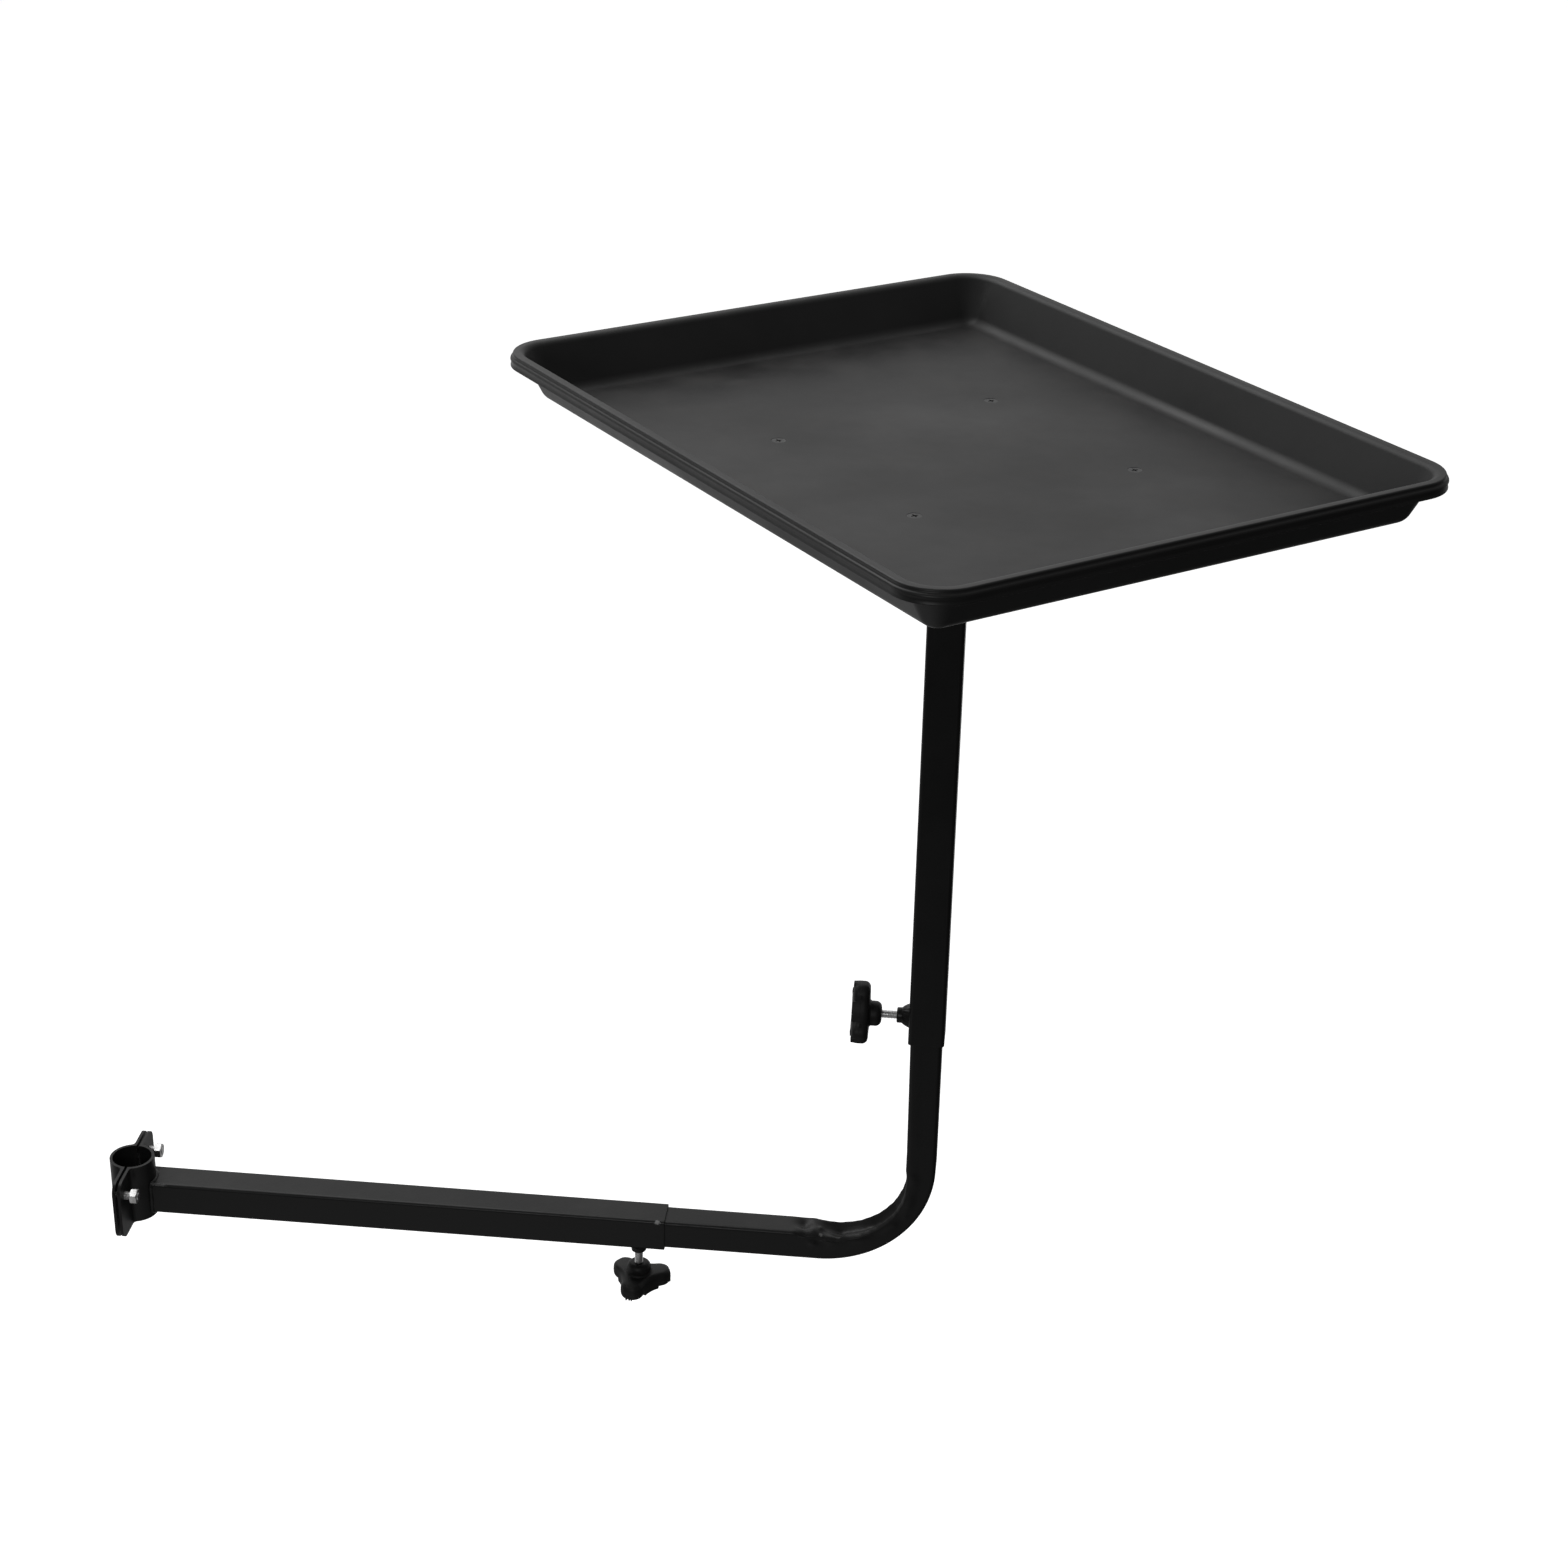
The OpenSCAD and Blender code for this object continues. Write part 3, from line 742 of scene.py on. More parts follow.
def arc(centre: tuple[float, float], radius: float, start: float, end: float, steps: int) -> list[tuple[float, float]]:
    """Gives points along an arc.

    Args:
        centre: The arc's centre.
        radius: The arc's radius.
        start: Angle of the first point, in degrees.
        end: Angle of the last point, in degrees.
        steps: Number of chords.

    Returns:
        The points, both ends included.
    """
    angles = [math.radians(start + (end - start) * i / steps) for i in range(steps + 1)]
    return [(centre[0] + radius * math.cos(a), centre[1] + radius * math.sin(a)) for a in angles]


def square_outline(half: float, corner: float) -> list[tuple[float, float]]:
    """Gives points along a square with rounded corners.

    Args:
        half: Half of the square's width.
        corner: Radius on its corners.

    Returns:
        The loop of points.
    """
    side_steps = 16
    points = []
    for start in (0, 90, 180, 270):
        middle = (half - corner) * math.sqrt(2)
        diagonal = math.radians(start + 45)
        points += arc((middle * math.cos(diagonal), middle * math.sin(diagonal)), corner, start, start + 90, 6)
        side, up = math.cos(math.radians(start + 90)), math.sin(math.radians(start + 90))
        for i in range(1, side_steps):
            along = (half - corner) * (1 - 2 * i / side_steps)
            points.append((half * side + along * up, half * up - along * side))
    return points


def join(shape: bmesh.types.BMesh, other: bmesh.types.BMesh) -> None:
    """Adds a second bmesh to the first and frees the second.

    Args:
        shape: The bmesh that grows.
        other: The bmesh that is added.
    """
    mesh = bpy.data.meshes.new("joined")
    other.to_mesh(mesh)
    other.free()
    shape.from_mesh(mesh)
    bpy.data.meshes.remove(mesh)


def smooth_step(value: float) -> float:
    """Gives a smooth step from 0 at 0 to 1 at 1.

    Args:
        value: Where on the step.

    Returns:
        The step's height.
    """
    held = min(1.0, max(0.0, value))
    return held * held * (3 - 2 * held)


def hump(offset: float, width: float) -> float:
    """Gives a smooth hump that is 1 at its middle.

    Args:
        offset: Distance from its middle.
        width: Distance at which it has sunk to 0.37.

    Returns:
        The hump's height.
    """
    return math.exp(-((offset / width) ** 2))


@dataclass(frozen=True)
class Seat:
    """A straight line that a turned piece is built along.

    Attributes:
        start: Where the piece's z = 0 goes.
        outward: Where its +Z points.
        across: Where its +X points before the turn.
        turn: Its turn about that line, in degrees.
    """

    start: Vector
    outward: Vector
    across: Vector
    turn: float = 0.0

    def matrix(self) -> Matrix:
        """Gives the transform from the piece's own axes.

        Returns:
            The transform.
        """
        axes = Matrix((self.across, self.outward.cross(self.across), self.outward)).transposed().to_4x4()
        return Matrix.Translation(self.start) @ axes @ Matrix.Rotation(math.radians(self.turn), 4, "Z")


@dataclass(frozen=True)
class Thread:
    """A rolled metric thread with true helical flanks.

    Attributes:
        radius: Outside radius.
        pitch: Rise of one turn.
        steps: Faces in one turn.
        chamfer: Length of the taper at a free end.
        phase: Turns of thread below z = 0 before the cut, so that no point lies on it.
    """

    radius: float = 3.0 * MM
    pitch: float = 1.0 * MM
    steps: int = 28
    chamfer: float = 0.8 * MM
    phase: float = 1.482

    def build(self, length: float) -> bmesh.types.BMesh:
        """Makes a closed threaded rod from z = 0, where it is tapered, up to its length.

        Args:
            length: Length of the rod.

        Returns:
            The closed bmesh.
        """
        root = self.radius - 0.6 * self.pitch
        flank = ((0.0, root), (0.12, root), (0.44, self.radius), (0.56, self.radius), (0.88, root), (1.0, root))
        turns = math.ceil(length / self.pitch) + 3
        shape = bmesh.new()
        points = [shape.verts.new((r, 0.0, (share - self.phase) * self.pitch)) for share, r in flank]
        edges = [shape.edges.new(pair) for pair in zip(points, points[1:])]
        bmesh.ops.spin(
            shape, geom=points + edges, cent=(0, 0, 0), axis=(0, 0, 1), dvec=(0, 0, self.pitch / self.steps),
            angle=FULL_TURN * turns, steps=self.steps * turns,
        )
        bmesh.ops.remove_doubles(shape, verts=shape.verts, dist=0.004 * MM)
        for height, normal in ((0.0, (0, 0, -1)), (length, (0, 0, 1))):
            geometry = shape.verts[:] + shape.edges[:] + shape.faces[:]
            cut = bmesh.ops.bisect_plane(
                shape, geom=geometry, plane_co=(0, 0, height), plane_no=normal, clear_outer=True
            )
            rim = [item for item in cut["geom_cut"] if isinstance(item, bmesh.types.BMEdge)]
            bmesh.ops.contextual_create(shape, geom=rim)
        for vert in shape.verts:
            limit = root - 0.3 * MM + max(0.0, vert.co.z)
            reach = math.hypot(vert.co.x, vert.co.y)
            if vert.co.z < self.chamfer and reach > limit:
                vert.co.xy *= limit / reach
        bmesh.ops.recalc_face_normals(shape, faces=shape.faces)
        return shape


@dataclass
class KnobScrew:
    """A three-lobed moulded knob on a threaded stud, and the boss that it screws into.

    Attributes:
        label: Start of its nodes' names.
        outward: Where the knob points, away from its tube.
        across: Direction of the first lobe before the turn.
        turn: Turn of the lobes about the stud, in degrees.
        lobe_out: Distance from the stud to the middle of a lobe.
        lobe_radius: Radius of a lobe.
        tip_radius: Distance from the stud to a lobe's tip.
        hollow_radius: Radius between two lobes.
        head_height: Height of the head.
        crown: Rise of the head's top over its edge.
        hub_radius: Radius of the hub.
        hub_edge: Rounding of the hub's end.
        edge: Rounding of the head's edges.
        segments: Points round the head.
    """

    label: str
    outward: Vector
    across: Vector
    turn: float
    lobe_out: float = 15.0 * MM
    lobe_radius: float = 8.6 * MM
    tip_radius: float = 23.15 * MM
    hollow_radius: float = 22.0 * MM
    head_height: float = 12.4 * MM
    crown: float = 0.8 * MM
    hub_radius: float = 8.7 * MM
    hub_edge: float = 4.1 * MM
    edge: float = 3.9 * MM
    segments: int = 180

    def _axis_point(self, node: str, outer: bool) -> Vector:
        """Finds where the screw's axis leaves a node's box.

        Args:
            node: The CAD node.
            outer: Whether to take the side that the knob points to.

        Returns:
            The point on the axis.
        """
        low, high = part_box(node)
        middle = (low + high) / 2
        stud_low, stud_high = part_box(f"{self.label}_knob_stud")
        axis_point = (stud_low + stud_high) / 2
        reach = (high - low).dot(Vector(abs(v) for v in self.outward)) / 2
        along = (middle - axis_point).dot(self.outward) + (reach if outer else -reach)
        return axis_point + self.outward * along

    def _outline(self, angle: float) -> float:
        """Gives the head's radius at an angle, with its lobes at 0, 120 and 240 degrees.

        Args:
            angle: The angle in radians.

        Returns:
            The distance from the axis to the outline.
        """
        third = FULL_TURN / 3
        lobe_angle = (angle + third / 2) % third - third / 2
        reach = self.lobe_radius + self.hollow_radius
        hollow_out = (self.lobe_out + math.sqrt(4 * reach**2 - 3 * self.lobe_out**2)) / 2
        lean = math.asin(self.lobe_out * math.sin(third / 2) / reach)
        touch_x = hollow_out - self.hollow_radius * math.cos(lean)
        touch_y = self.hollow_radius * math.sin(lean)
        touch = third / 2 - math.atan2(touch_y, touch_x)
        if abs(lobe_angle) <= touch:
            across = self.lobe_out * math.sin(lobe_angle)
            lobe = self.lobe_out * math.cos(lobe_angle) + math.sqrt(self.lobe_radius**2 - across**2)
            return min(self.tip_radius, lobe)
        away = third / 2 - abs(lobe_angle)
        across = hollow_out * math.sin(away)
        return hollow_out * math.cos(away) - math.sqrt(self.hollow_radius**2 - across**2)

    def _head(self, height: float) -> bmesh.types.BMesh:
        """Moulds the knob's head and hub.

        Args:
            height: Height of hub and head together.

        Returns:
            The bmesh, from the hub's face at z = 0.
        """
        seam = 0.12 * MM
        hub_height = height - self.head_height
        shoulder = height - self.crown
        shape = bmesh.new()
        bmesh.ops.create_circle(shape, cap_ends=True, segments=self.segments, radius=1.0)
        for vert in shape.verts:
            angle = math.atan2(vert.co.y, vert.co.x)
            vert.co = Vector((math.cos(angle), math.sin(angle), 0.0)) * self._outline(angle)
            vert.co.z = hub_height
        face = shape.faces[:]
        middle = hub_height + self.head_height * 0.5
        for level, grow in ((middle - seam, 0.0), (middle, seam), (middle + seam, -seam), (shoulder, 0.0)):
            raised = bmesh.ops.extrude_face_region(shape, geom=face)["geom"]
            if level > middle - seam:
                bmesh.ops.delete(shape, geom=face, context="FACES_ONLY")
            face = [item for item in raised if isinstance(item, bmesh.types.BMFace)]
            for vert in face[0].verts:
                vert.co.z = level
                vert.co.xy *= 1 + grow / vert.co.xy.length
        rims = []
        for level in (hub_height, shoulder):
            rims += [e for e in shape.edges if all(abs(v.co.z - level) < 1e-6 for v in e.verts)]
        bmesh.ops.bevel(shape, geom=rims, offset=self.edge, segments=6, profile=0.5, affect="EDGES", material=-1)
        top = max(shape.faces, key=lambda f: f.calc_center_median().z)
        for inset, rise in ((1.5 * MM, 0.6 * self.crown), (1.8 * MM, 0.4 * self.crown)):
            bmesh.ops.inset_region(shape, faces=[top], thickness=inset, depth=0.0)
            for vert in top.verts:
                vert.co.z += rise
        bmesh.ops.recalc_face_normals(shape, faces=shape.faces)
        radius, flare, sunk = self.hub_radius, 0.9 * MM, hub_height + 1.5 * MM
        nose = arc((radius - self.hub_edge, self.hub_edge), self.hub_edge, -90, 0, 12)
        root = [(radius, hub_height - 1.0 * MM), (radius + flare, hub_height), (radius + flare, sunk), (0.0, sunk)]
        join(shape, lathe([(0.0, 0.0), *nose, *root], 72))
        return shape

    def _boss(self, height: float) -> bmesh.types.BMesh:
        """Makes the threaded boss with the rippled weld at its foot.

        Args:
            height: Height of the boss over its tube.

        Returns:
            The bmesh, from the tube's face at z = 0.
        """
        nose, foot, weld, hole = 5.4 * MM, 8.25 * MM, 5.3 * MM, 3.05 * MM
        shares = [i / 10 for i in range(11)]
        slope = [(foot + (nose - foot) * t + 0.3 * MM * math.sin(math.pi * t), weld * t) for t in shares]
        profile = [(hole, 0.0), *slope, *arc((nose - 0.9 * MM, height - 0.9 * MM), 0.9 * MM, 0, 90, 5),
                   (hole + 0.5 * MM, height), (hole, height - 0.5 * MM), (hole, 0.0)]
        shape = lathe(profile, 96)
        for vert in shape.verts:
            reach = math.hypot(vert.co.x, vert.co.y)
            if reach > nose and vert.co.z < weld:
                angle = math.atan2(vert.co.y, vert.co.x)
                beads = abs(math.sin(9 * angle + 6 * (reach - nose) / foot))
                ripple = 0.22 * MM * beads + 0.15 * MM * math.sin(3 * angle + 1)
                vert.co.xy *= 1 + ripple * smooth_step((reach - nose) / (0.8 * MM)) / reach
        return shape

    def build(self, bench: Bench) -> None:
        """Builds the boss, the stud and the head.

        Args:
            bench: The bench that places them.
        """
        parts = (
            ("boss", "welded", self._boss, Slot.COAT, 0.0),
            ("knob_stud", "threaded", Thread().build, Slot.ZINC, 0.0),
            ("knob_head", "moulded", self._head, Slot.KNOB, self.turn),
        )
        for part, ending, make, slot, turn in parts:
            node = f"{self.label}_{part}"
            foot = self._axis_point(node, False)
            shape = make((self._axis_point(node, True) - foot).length)
            shape.transform(Seat(foot, self.outward, self.across, turn).matrix())
            bench.place(f"{node}_{ending}", shape, slot, node, [node])


def skin(rings: Sequence[Sequence[Vector]], closed: bool) -> bmesh.types.BMesh:
    """Joins rings with the same number of points into a surface of quads.

    Args:
        rings: The rings in order, each a closed loop of points.
        closed: Whether the last ring is joined to the first.

    Returns:
        The bmesh, with its vertices in the order of the rings.
    """
    shape = bmesh.new()
    loops = [[shape.verts.new(point) for point in ring] for ring in rings]
    pairs = list(zip(loops, loops[1:] + loops[:1])) if closed else list(zip(loops, loops[1:]))
    for low, high in pairs:
        for i, vert in enumerate(low):
            j = (i + 1) % len(low)
            shape.faces.new((vert, low[j], high[j], high[i]))
    bmesh.ops.recalc_face_normals(shape, faces=shape.faces)
    return shape


@dataclass(frozen=True)
class BentTube:
    """The L-shaped square tube, with the press mark on the inside of its bend.

    Attributes:
        wall: Thickness of its wall.
        corner: Radius on its corners.
        bend: Radius of the bend, on the tube's centre line.
        press_radius: Radius of the press mark.
        press_depth: Depth of the press mark.
        fold: How far down each side wall folds with the mark, from the middle.
        onset: Depth of the mark at which its relief is full.
        groove: Depth of the tool's groove in the mark.
        groove_half: Half of the groove's width at its top.
        groove_slope: Width of each side of the groove.
        ridge: Height of the ridges beside and inside the groove.
        side_ridge: Distance to the side and width of the two outer ridges.
        inner_ridge: Distance to the side and width of the inner ridge.
        bulge: How far the side walls swell beside the mark.
        crush: How far the near corner sinks where the mark begins.
        crush_span: Where along the tube that begins and ends.
        lead: How far the post is drawn in over the mark.
        lead_span: Where along the tube that begins and ends.
        dents: Marks on the inner face, each as distance along from the bend's
            start, distance across, half length, half width and depth.
        knocks: Marks on the near wall, each as distance along, distance
            inward, half length, half width and height.
    """

    wall: float = 1.2 * MM
    corner: float = 2.5 * MM
    bend: float = 71.0 * MM
    press_radius: float = 50.0 * MM
    press_depth: float = 7.4 * MM
    fold: float = -3.0 * MM
    onset: float = 3.5 * MM
    groove: float = 4.0 * MM
    groove_half: float = 9.2 * MM
    groove_slope: float = 8.4 * MM
    ridge: float = 0.8 * MM
    side_ridge: tuple[float, float] = (8.3 * MM, 1.2 * MM)
    inner_ridge: tuple[float, float] = (-0.8 * MM, 1.5 * MM)
    bulge: float = 0.6 * MM
    crush: float = 4.2 * MM
    crush_span: tuple[float, float] = (-18 * MM, 30 * MM)
    lead: float = 1.3 * MM
    lead_span: tuple[float, float] = (112 * MM, 225 * MM)
    dents: tuple[tuple[float, float, float, float, float], ...] = (
        (-10.0, 1.5, 5.5, 5.5, 3.0), (2.5, -1.0, 2.2, 2.2, -1.6), (10.5, -1.0, 4.0, 7.0, -1.0),
        (21.0, 2.0, 5.0, 4.0, 0.8), (38.0, -4.5, 6.0, 2.4, -0.6), (52.0, 3.0, 9.0, 3.0, 0.7),
    )
    knocks: tuple[tuple[float, float, float, float, float], ...] = (
        (-3.0, 3.0, 3.0, 2.3, 1.1), (6.0, 5.0, 4.0, 3.0, -0.5), (78.0, 1.0, 3.0, 3.0, 0.35),
        (92.0, -3.0, 3.5, 3.0, 0.3),
    )

    def _stations(self, low: Vector, high: Vector) -> list[tuple[Vector, Vector]]:
        """Lists the points of the centre line with the direction to the bend's inside.

        Args:
            low: Lower corner of the tube's box.
            high: Upper corner of the tube's box.

        Returns:
            Each point and its inward direction.
        """
        half = (high.y - low.y) / 2
        axis_y = (high.y + low.y) / 2
        post_x, arm_z = high.x - half, low.z + half
        turn_x, turn_z = post_x - self.bend, arm_z + self.bend
        reach, fine, coarse, turns = 32 * MM, 34, 4, 120
        up, back = Vector((0, 0, 1)), Vector((-1, 0, 0))
        straight, rest = turn_x - reach - low.x, high.z - turn_z - reach
        run = [low.x + straight * i / coarse for i in range(coarse)]
        run += [turn_x - reach * (1 - i / fine) for i in range(fine)]
        line = [(Vector((x, axis_y, arm_z)), up) for x in run]
        for i in range(turns + 1):
            angle = math.radians(90 * i / turns)
            outward = Vector((math.sin(angle), 0, -math.cos(angle)))
            line.append((Vector((turn_x, axis_y, turn_z)) + outward * self.bend, -outward))
        rise = [turn_z + reach * i / fine for i in range(1, fine + 1)]
        rise += [turn_z + reach + rest * i / coarse for i in range(1, coarse + 1)]
        return line + [(Vector((post_x, axis_y, z)), back) for z in rise]

    def _limit(self, point: Vector, inward: Vector, centre: Vector, half: float) -> float:
        """Finds how far inward the tube reaches at one station.

        Args:
            point: The station on the centre line.
            inward: Its inward direction.
            centre: Centre of the press mark.
            half: Half of the tube's width.

        Returns:
            The distance from the centre line to the tube's inner face.
        """
        offset = point - centre
        along = offset.dot(inward)
        square = along * along - offset.dot(offset) + self.press_radius**2
        if square <= 0:
            return half
        cut = -along - math.sqrt(square)
        soft = 0.25 * MM
        return -soft * math.log(math.exp((half - cut) / soft) + 1) + half

    def _worked(self, inward: float, across: float, limit: float, half: float, along: float) -> tuple[float, float]:
        """Moves one point of the section to where the press left it.

        Args:
            inward: Its distance towards the bend's inside.
            across: Its distance to the side.
            limit: How far inward the tube reaches here.
            half: Half of the tube's width.
            along: Length of tube from the bend's start, for marks that come and go.

        Returns:
            The moved point.
        """
        depth = smooth_step((half - limit) / self.onset)
        level = inward
        if inward > self.fold:
            inward = self.fold + (inward - self.fold) * (limit - self.fold) / (half - self.fold)
        near_top = smooth_step((inward - limit + 3 * MM) / (2.4 * MM))
        side = abs(across)
        (outer, outer_width), (inner, inner_width) = self.side_ridge, self.inner_ridge
        ridge = self.ridge * (hump(side - outer, outer_width) + hump(across - inner, inner_width))
        trough = self.groove * smooth_step((self.groove_half - side) / self.groove_slope)
        ripple = 0.2 * MM * math.sin(along / (2.3 * MM)) * math.sin(along / (6.1 * MM) + 1.0)
        inward += near_top * depth * (ridge - trough + ripple)
        for place, aside, length, width, deep in self.dents:
            inward -= near_top * deep * MM * hump(along / MM - place, length) * hump(across / MM - aside, width)
        first, last = self.crush_span
        window = smooth_step((along - first) / (9 * MM)) * smooth_step((last - along) / (16 * MM))
        sunk = max(0.0, -across - 2.5 * MM) / (half - 2.5 * MM)
        inward -= near_top * window * self.crush * sunk * sunk
        swell = hump(inward - limit + 4.5 * MM, 3.6 * MM) * smooth_step((side - 8.0 * MM) / (2.4 * MM))
        uneven = 1 + 0.45 * math.sin(along / (5.2 * MM) + (0.0 if across < 0 else 1.7))
        across += math.copysign(self.bulge * depth * swell * uneven, across)
        if across < -half + 1.5 * MM:
            for place, height, length, width, proud in self.knocks:
                across -= proud * MM * hump(along / MM - place, length) * hump(level / MM - height, width)
        return inward, across

    def build(self, bench: Bench) -> None:
        """Sweeps the outside and the bore along the L and joins them at the ends.

        Args:
            bench: The bench that places the piece.
        """
        node = "inner_l_tube"
        low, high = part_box(node)
        half = (high.y - low.y) / 2
        stations = self._stations(low, high)
        centre = Vector((high.x - half - self.bend, (low.y + high.y) / 2, low.z + half + self.bend))
        shift = (self.bend - half + self.press_depth - self.press_radius) / math.sqrt(2)
        centre += Vector((shift, 0, -shift))
        first, last = self.lead_span
        rings: list[list[Vector]] = []
        for inset, order in ((0.0, stations), (self.wall, list(reversed(stations)))):
            section = square_outline(half - inset, self.corner - inset)
            for point, inward in order:
                along = (point.x - (high.x - half - self.bend)) + (point.z - low.z - half)
                drawn = smooth_step((last - along) / (70 * MM)) * smooth_step((along - first) / (20 * MM))
                limit = min(self._limit(point, inward, centre, half), half - self.lead * drawn) - inset
                moved = [self._worked(a, b, limit, half - inset, along) for a, b in section]
                rings.append([point + inward * a + Vector((0, b, 0)) for a, b in moved])
        bench.place(f"{node}_bent", skin(rings, True), Slot.COAT, node, [node], crease=50.0)


@dataclass(frozen=True)
class MouldedTray:
    """The tray, with the soft edges of a moulding.

    Attributes:
        length: Length over the rim.
        width: Width over the rim.
        depth: From rim to floor.
        sheet: Thickness.
        rim: Width of the rim.
        lip: Height of the lip.
        lean: Lean of the walls, in degrees.
        fillet: Radius where a wall runs into the floor.
        floor_corner: Radius of the flat floor's corners.
        roll: Radius from the rim into the wall.
        edge: Radius on the rim's outside.
        ledge: Mean width of the shoulder on the lip.
        ledge_down: Depth of the shoulder below the rim.
        turn: Turn on the spindle, in degrees.
        screw_spread: Half the screws' spacing, along and across.
        hole: Radius of the screw holes.
        seat: Radius of their countersinks at the floor.
    """

    length: float = 499 * MM
    width: float = 391 * MM
    depth: float = 31.2 * MM
    sheet: float = 2 * MM
    rim: float = 8.6 * MM
    lip: float = 9 * MM
    lean: float = 27.0
    fillet: float = 10 * MM
    floor_corner: float = 1 * MM
    roll: float = 5.5 * MM
    edge: float = 1.2 * MM
    ledge: float = 0.8 * MM
    ledge_down: float = 3.4 * MM
    turn: float = -52.4
    screw_spread: tuple[float, float] = (76.5 * MM, 82.5 * MM)
    hole: float = 2.75 * MM
    seat: float = 4.72 * MM

    def _fillet_in(self) -> float:
        """Gives the distance from the rim's edge to the flat floor.

        Returns:
            The distance.
        """
        lean = math.radians(self.lean)
        slope = (self.depth - self.fillet * (1 - math.sin(lean))) / math.cos(lean)
        return self.rim + slope * math.sin(lean) + self.fillet * math.cos(lean)

    def _section(self) -> list[tuple[float, float]]:
        """Gives the section from the floor's top over the rim to its underside.

        Returns:
            Points as (distance in from the edge, height over the rim).
        """
        floor_in = self._fillet_in()
        centre = (floor_in, self.fillet - self.depth)
        roll_x = self.rim - self.roll * math.tan(math.radians(90 - self.lean) / 2)
        under = self.depth + self.sheet
        small = 0.4 * MM
        step, bead = 2 * self.ledge, 1.9 * MM
        return [
            (floor_in + self.floor_corner / 2, -self.depth),
            *arc(centre, self.fillet, 270, 180 + self.lean, 16),
            *arc((roll_x, -self.roll), self.roll, self.lean, 90, 12),
            *arc((step + self.edge, -self.edge), self.edge, 90, 180, 8),
            (step, -1.6 * MM),
            (step - 0.1 * MM, -1.95 * MM),
            *arc((bead, -self.ledge_down - 0.9 * MM), bead, 112, 180, 8),
            (0.0, -self.ledge_down - 1.2 * MM),
            (0.4 * MM, -self.ledge_down - 1.9 * MM),
            (0.55 * MM, 1.6 * MM - self.lip),
            (0.1 * MM, 0.8 * MM - self.lip),
            *arc((0.1 * MM + small, small - self.lip), small, 180, 270, 4),
            *arc((self.sheet - small, small - self.lip), small, 270, 360, 4),
            (self.sheet, -self.ledge_down - 1.2 * MM),
            (self.sheet + step, -self.sheet),
            *arc((roll_x, -self.roll), self.roll - self.sheet, 90, self.lean, 8),
            *arc(centre, self.fillet + self.sheet, 180 + self.lean, 270, 16),
            (floor_in + self.floor_corner / 2, -under),
        ]

    def _ring(self, inset: float, height: float) -> list[Vector]:
        """Gives one loop round the tray.

        Args:
            inset: Distance in from the tray's edge.
            height: Height over the rim.

        Returns:
            The loop of points.
        """
        radius = self._fillet_in() + self.floor_corner
        points = []
        for quarter, (sx, sy) in enumerate(((1, 1), (-1, 1), (-1, -1), (1, -1))):
            centre = (sx * (self.length / 2 - radius), sy * (self.width / 2 - radius))
            corner = arc(centre, radius - inset, 90 * quarter, 90 * quarter + 90, 18)
            points += [Vector((x, y, height)) for x, y in corner]
        return points

    def build(self, bench: Bench) -> None:
        """Sweeps the section round the tray and fills the floor round its screw holes.

        Args:
            bench: The bench that places the piece.
        """
        node = "tray"
        rings = [self._ring(inset, height) for inset, height in self._section()]
        shape = skin(rings, False)
        under = -self.depth - self.sheet
        levels = ((-self.depth, self.seat), (self.hole - self.seat - self.depth, self.hole), (under, self.hole))
        for sx in (-1, 1):
            for sy in (-1, 1):
                x, y = sx * self.screw_spread[0], sy * self.screw_spread[1]
                circles = [[Vector((*p, z)) for p in arc((x, y), r, 0, 360, 48)[:-1]] for z, r in levels]
                join(shape, skin(circles, False))
        for height in (-self.depth, under):
            rim = [e for e in shape.edges if e.is_boundary and all(abs(v.co.z - height) < 1e-7 for v in e.verts)]
            bmesh.ops.triangle_fill(shape, edges=rim, use_beauty=True, normal=(0, 0, 1))
        bmesh.ops.recalc_face_normals(shape, faces=shape.faces)
        low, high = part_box(node)
        middle = (low + high) / 2
        place = Matrix.Translation((middle.x, middle.y, high.z))
        shape.transform(place @ Matrix.Rotation(math.radians(self.turn), 4, "Z"))
        bench.place(f"{node}_moulded", shape, Slot.TRAY, node, [node], crease=40.0)


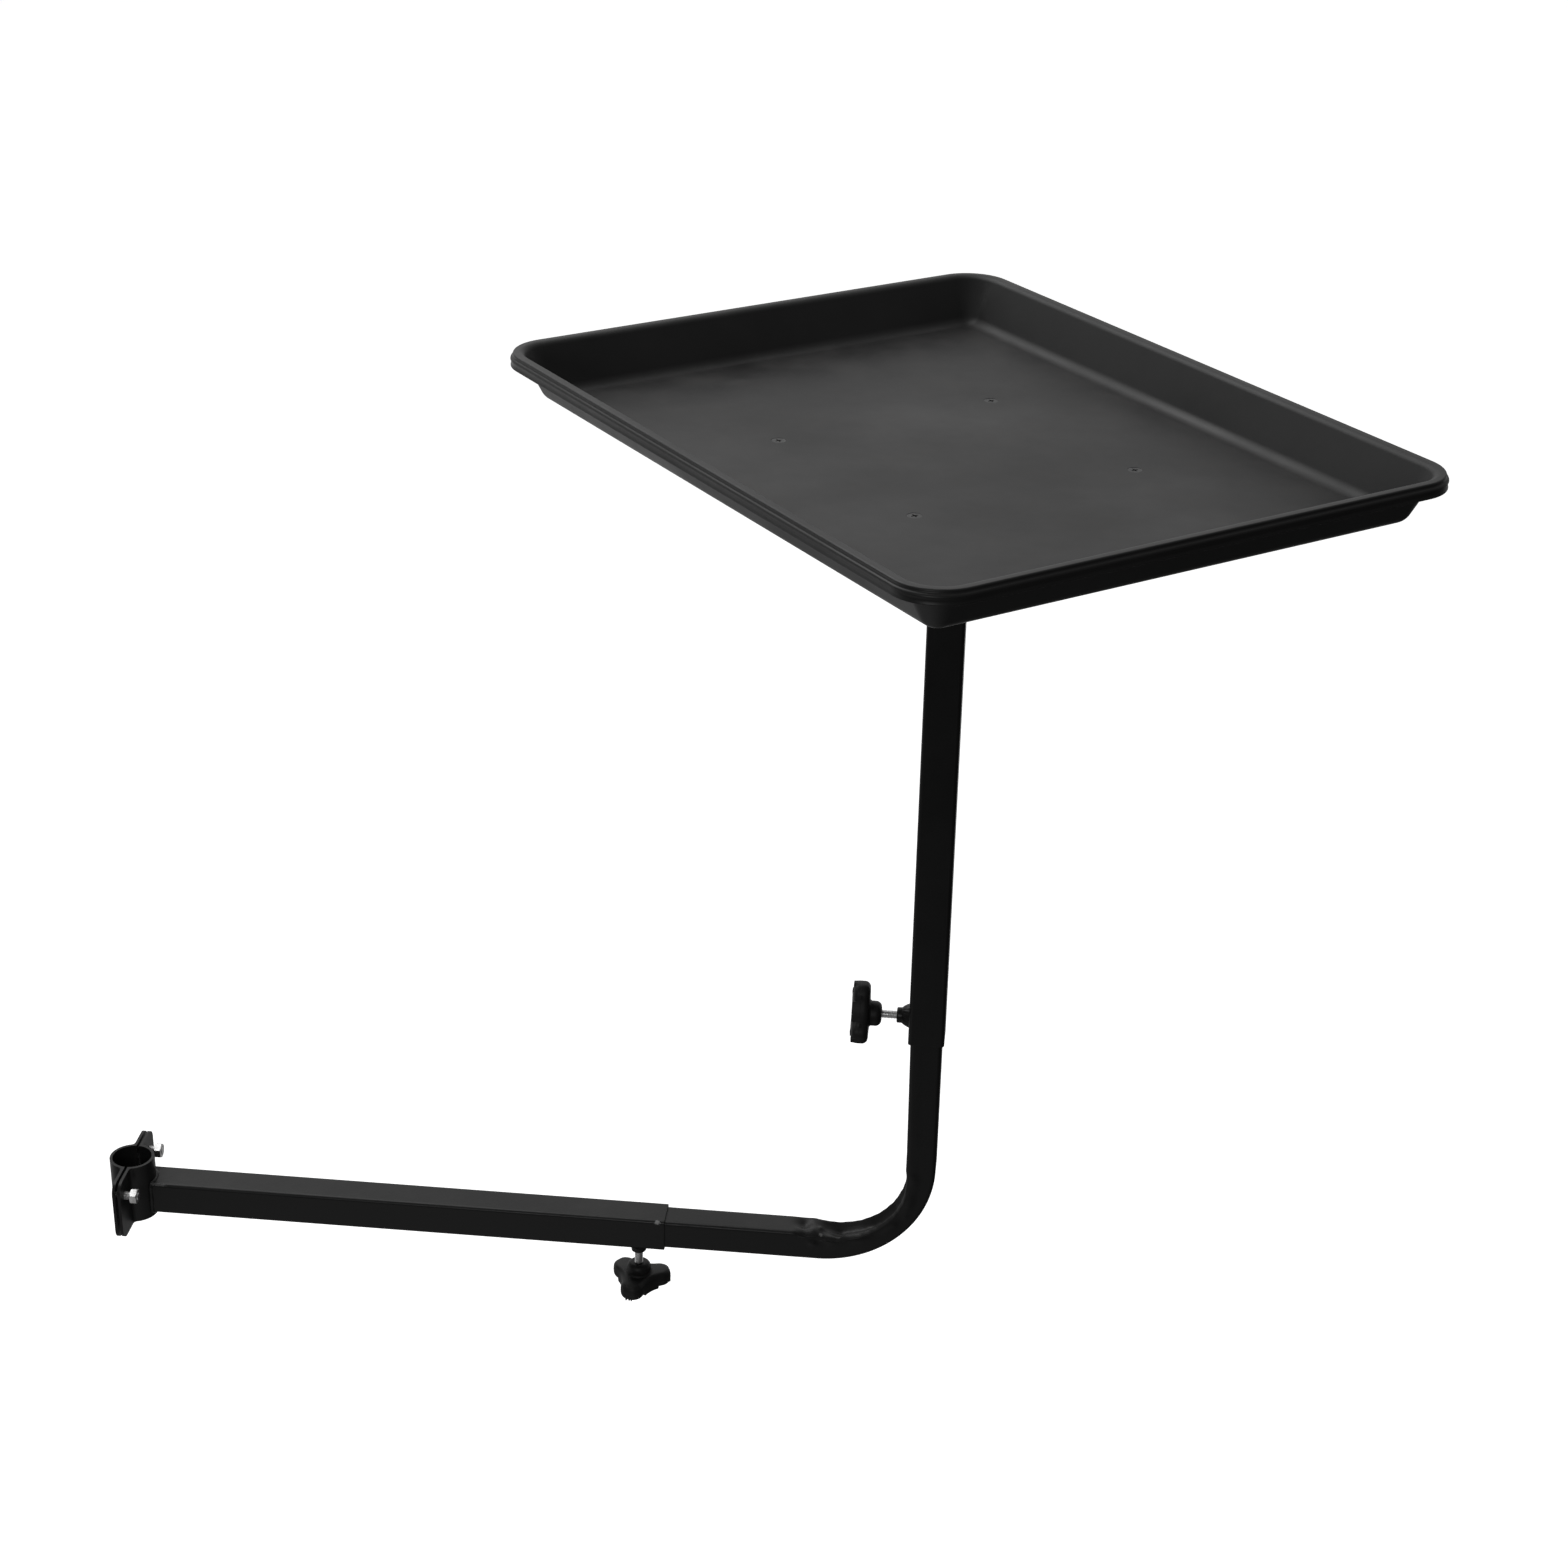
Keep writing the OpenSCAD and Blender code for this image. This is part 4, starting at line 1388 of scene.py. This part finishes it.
@dataclass(frozen=True)
class ClampBolt:
    """A carriage bolt through the clamp's ears.

    Attributes:
        side: Which ear it goes through, near or far.
        neck: Half the width of its square neck.
        sheet: Thickness of the jaw.
        shank: Radius of the thread.
        head_height: Height of the domed head.
    """

    side: str
    neck: float = 3.0 * MM
    sheet: float = 2.0 * MM
    shank: float = 3.0 * MM
    head_height: float = 3.3 * MM

    def build(self, bench: Bench) -> None:
        """Makes the domed head, the square neck and the threaded shank.

        Args:
            bench: The bench that places the piece.
        """
        node = f"clamp_bolt_{self.side}"
        low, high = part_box(node)
        middle = (low + high) / 2
        head_radius = (high.y - low.y) / 2
        height = self.head_height
        face_x = low.x + height
        tip = Vector((high.x, middle.y, middle.z))
        back = Vector((-1, 0, 0))
        shape = Thread(radius=self.shank).build(high.x - face_x - self.sheet / 2)
        shape.transform(Seat(tip, back, Vector((0, 0, 1))).matrix())
        dome = (head_radius**2 + height**2) / (2 * height)
        lean = math.degrees(math.asin((head_radius - 0.15 * MM) / dome))
        crown = arc((0.0, height - dome), dome, 90 - lean, 90, 10)
        profile = [(0.0, 0.0), (head_radius - 0.3 * MM, 0.0), (head_radius, 0.15 * MM), *crown]
        head = lathe(profile, 64)
        head.transform(Seat(Vector((face_x, middle.y, middle.z)), back, Vector((0, 0, 1))).matrix())
        join(shape, head)
        neck = bmesh.new()
        bmesh.ops.create_cube(neck, size=1.0)
        bmesh.ops.scale(neck, vec=(self.sheet, 2 * self.neck, 2 * self.neck), verts=neck.verts)
        bmesh.ops.translate(neck, vec=(face_x + self.sheet / 2, middle.y, middle.z), verts=neck.verts)
        join(shape, neck)
        bench.place(f"{node}_threaded", shape, Slot.ZINC, node, [node])


@dataclass(frozen=True)
class CopeWeld:
    """The weld bead where the arm is coped round the fixed jaw.

    Attributes:
        ring: Radius of the jaw's outside.
        root: Radius where each ear runs into its jaw.
        ear: Face of the ears, from the clamp's axis.
        bead: Radius of the bead.
        sink: How far its middle lies inside the corner.
        corner: Radius of the path on the arm's corners.
    """

    ring: float = 16.0 * MM
    root: float = 3.0 * MM
    ear: float = 3.0 * MM
    bead: float = 1.7 * MM
    sink: float = 0.4 * MM
    corner: float = 2.5 * MM

    def _face_x(self, y: float) -> float:
        """Gives how far out the jaw's outside is at one distance to the side.

        Args:
            y: Distance to the side of the clamp's axis.

        Returns:
            Its distance from the ears' plane.
        """
        root_x = self.ear + self.root
        root_y = math.sqrt((self.ring + self.root) ** 2 - root_x**2)
        if abs(y) <= root_y * self.ring / (self.ring + self.root):
            return math.sqrt(self.ring**2 - y * y)
        return root_x - math.sqrt(max(0.0, self.root**2 - (root_y - abs(y)) ** 2))

    def build(self, bench: Bench) -> None:
        """Sweeps the bead round the arm's left end.

        Args:
            bench: The bench that places the piece.
        """
        node = "outer_arm_tube"
        low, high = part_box(node)
        half = (high.y - low.y) / 2
        axis_y = (high.y + low.y) / 2
        outline = square_outline(half - self.sink, self.corner)
        rings: list[list[Vector]] = []
        count = len(outline)
        path = [Vector((self._face_x(axis_y + b) + self.sink, axis_y + b, a)) for a, b in outline]
        travelled = 0.0
        for i, point in enumerate(path):
            ahead = (path[(i + 1) % count] - path[i - 1]).normalized()
            travelled += (point - path[i - 1]).length if i else 0.0
            side = Vector((1, 0, 0)).cross(ahead).normalized()
            out = ahead.cross(side).normalized()
            ripple = math.sin(travelled / (0.45 * MM)) + math.sin(travelled / (2.1 * MM) + 1)
            radius = self.bead * (1 + 0.10 * ripple)
            rings.append([point + (side * x + out * y) * radius for x, y in arc((0, 0), 1.0, 0, 360, 16)[:-1]])
        bench.place("cope_weld", skin(rings, True), Slot.COAT, node)


def main() -> None:
    """Builds the studio and dresses the object."""
    logging.basicConfig(level=logging.INFO, format="%(message)s")
    PhotoCamera().build()
    Studio().build()
    finishes = Finishes()
    finishes.dress_nodes()
    bench = Bench(finishes)
    KnobScrew("arm", Vector((0, 0, -1)), Vector((1, 0, 0)), turn=-20.0).build(bench)
    KnobScrew("sleeve", Vector((-1, 0, 0)), Vector((0, 0, 1)), turn=2.0).build(bench)
    BentTube().build(bench)
    MouldedTray().build(bench)
    for side in ("near", "far"):
        ClampBolt(side).build(bench)
    CopeWeld().build(bench)


if __name__ == "__main__":
    main()
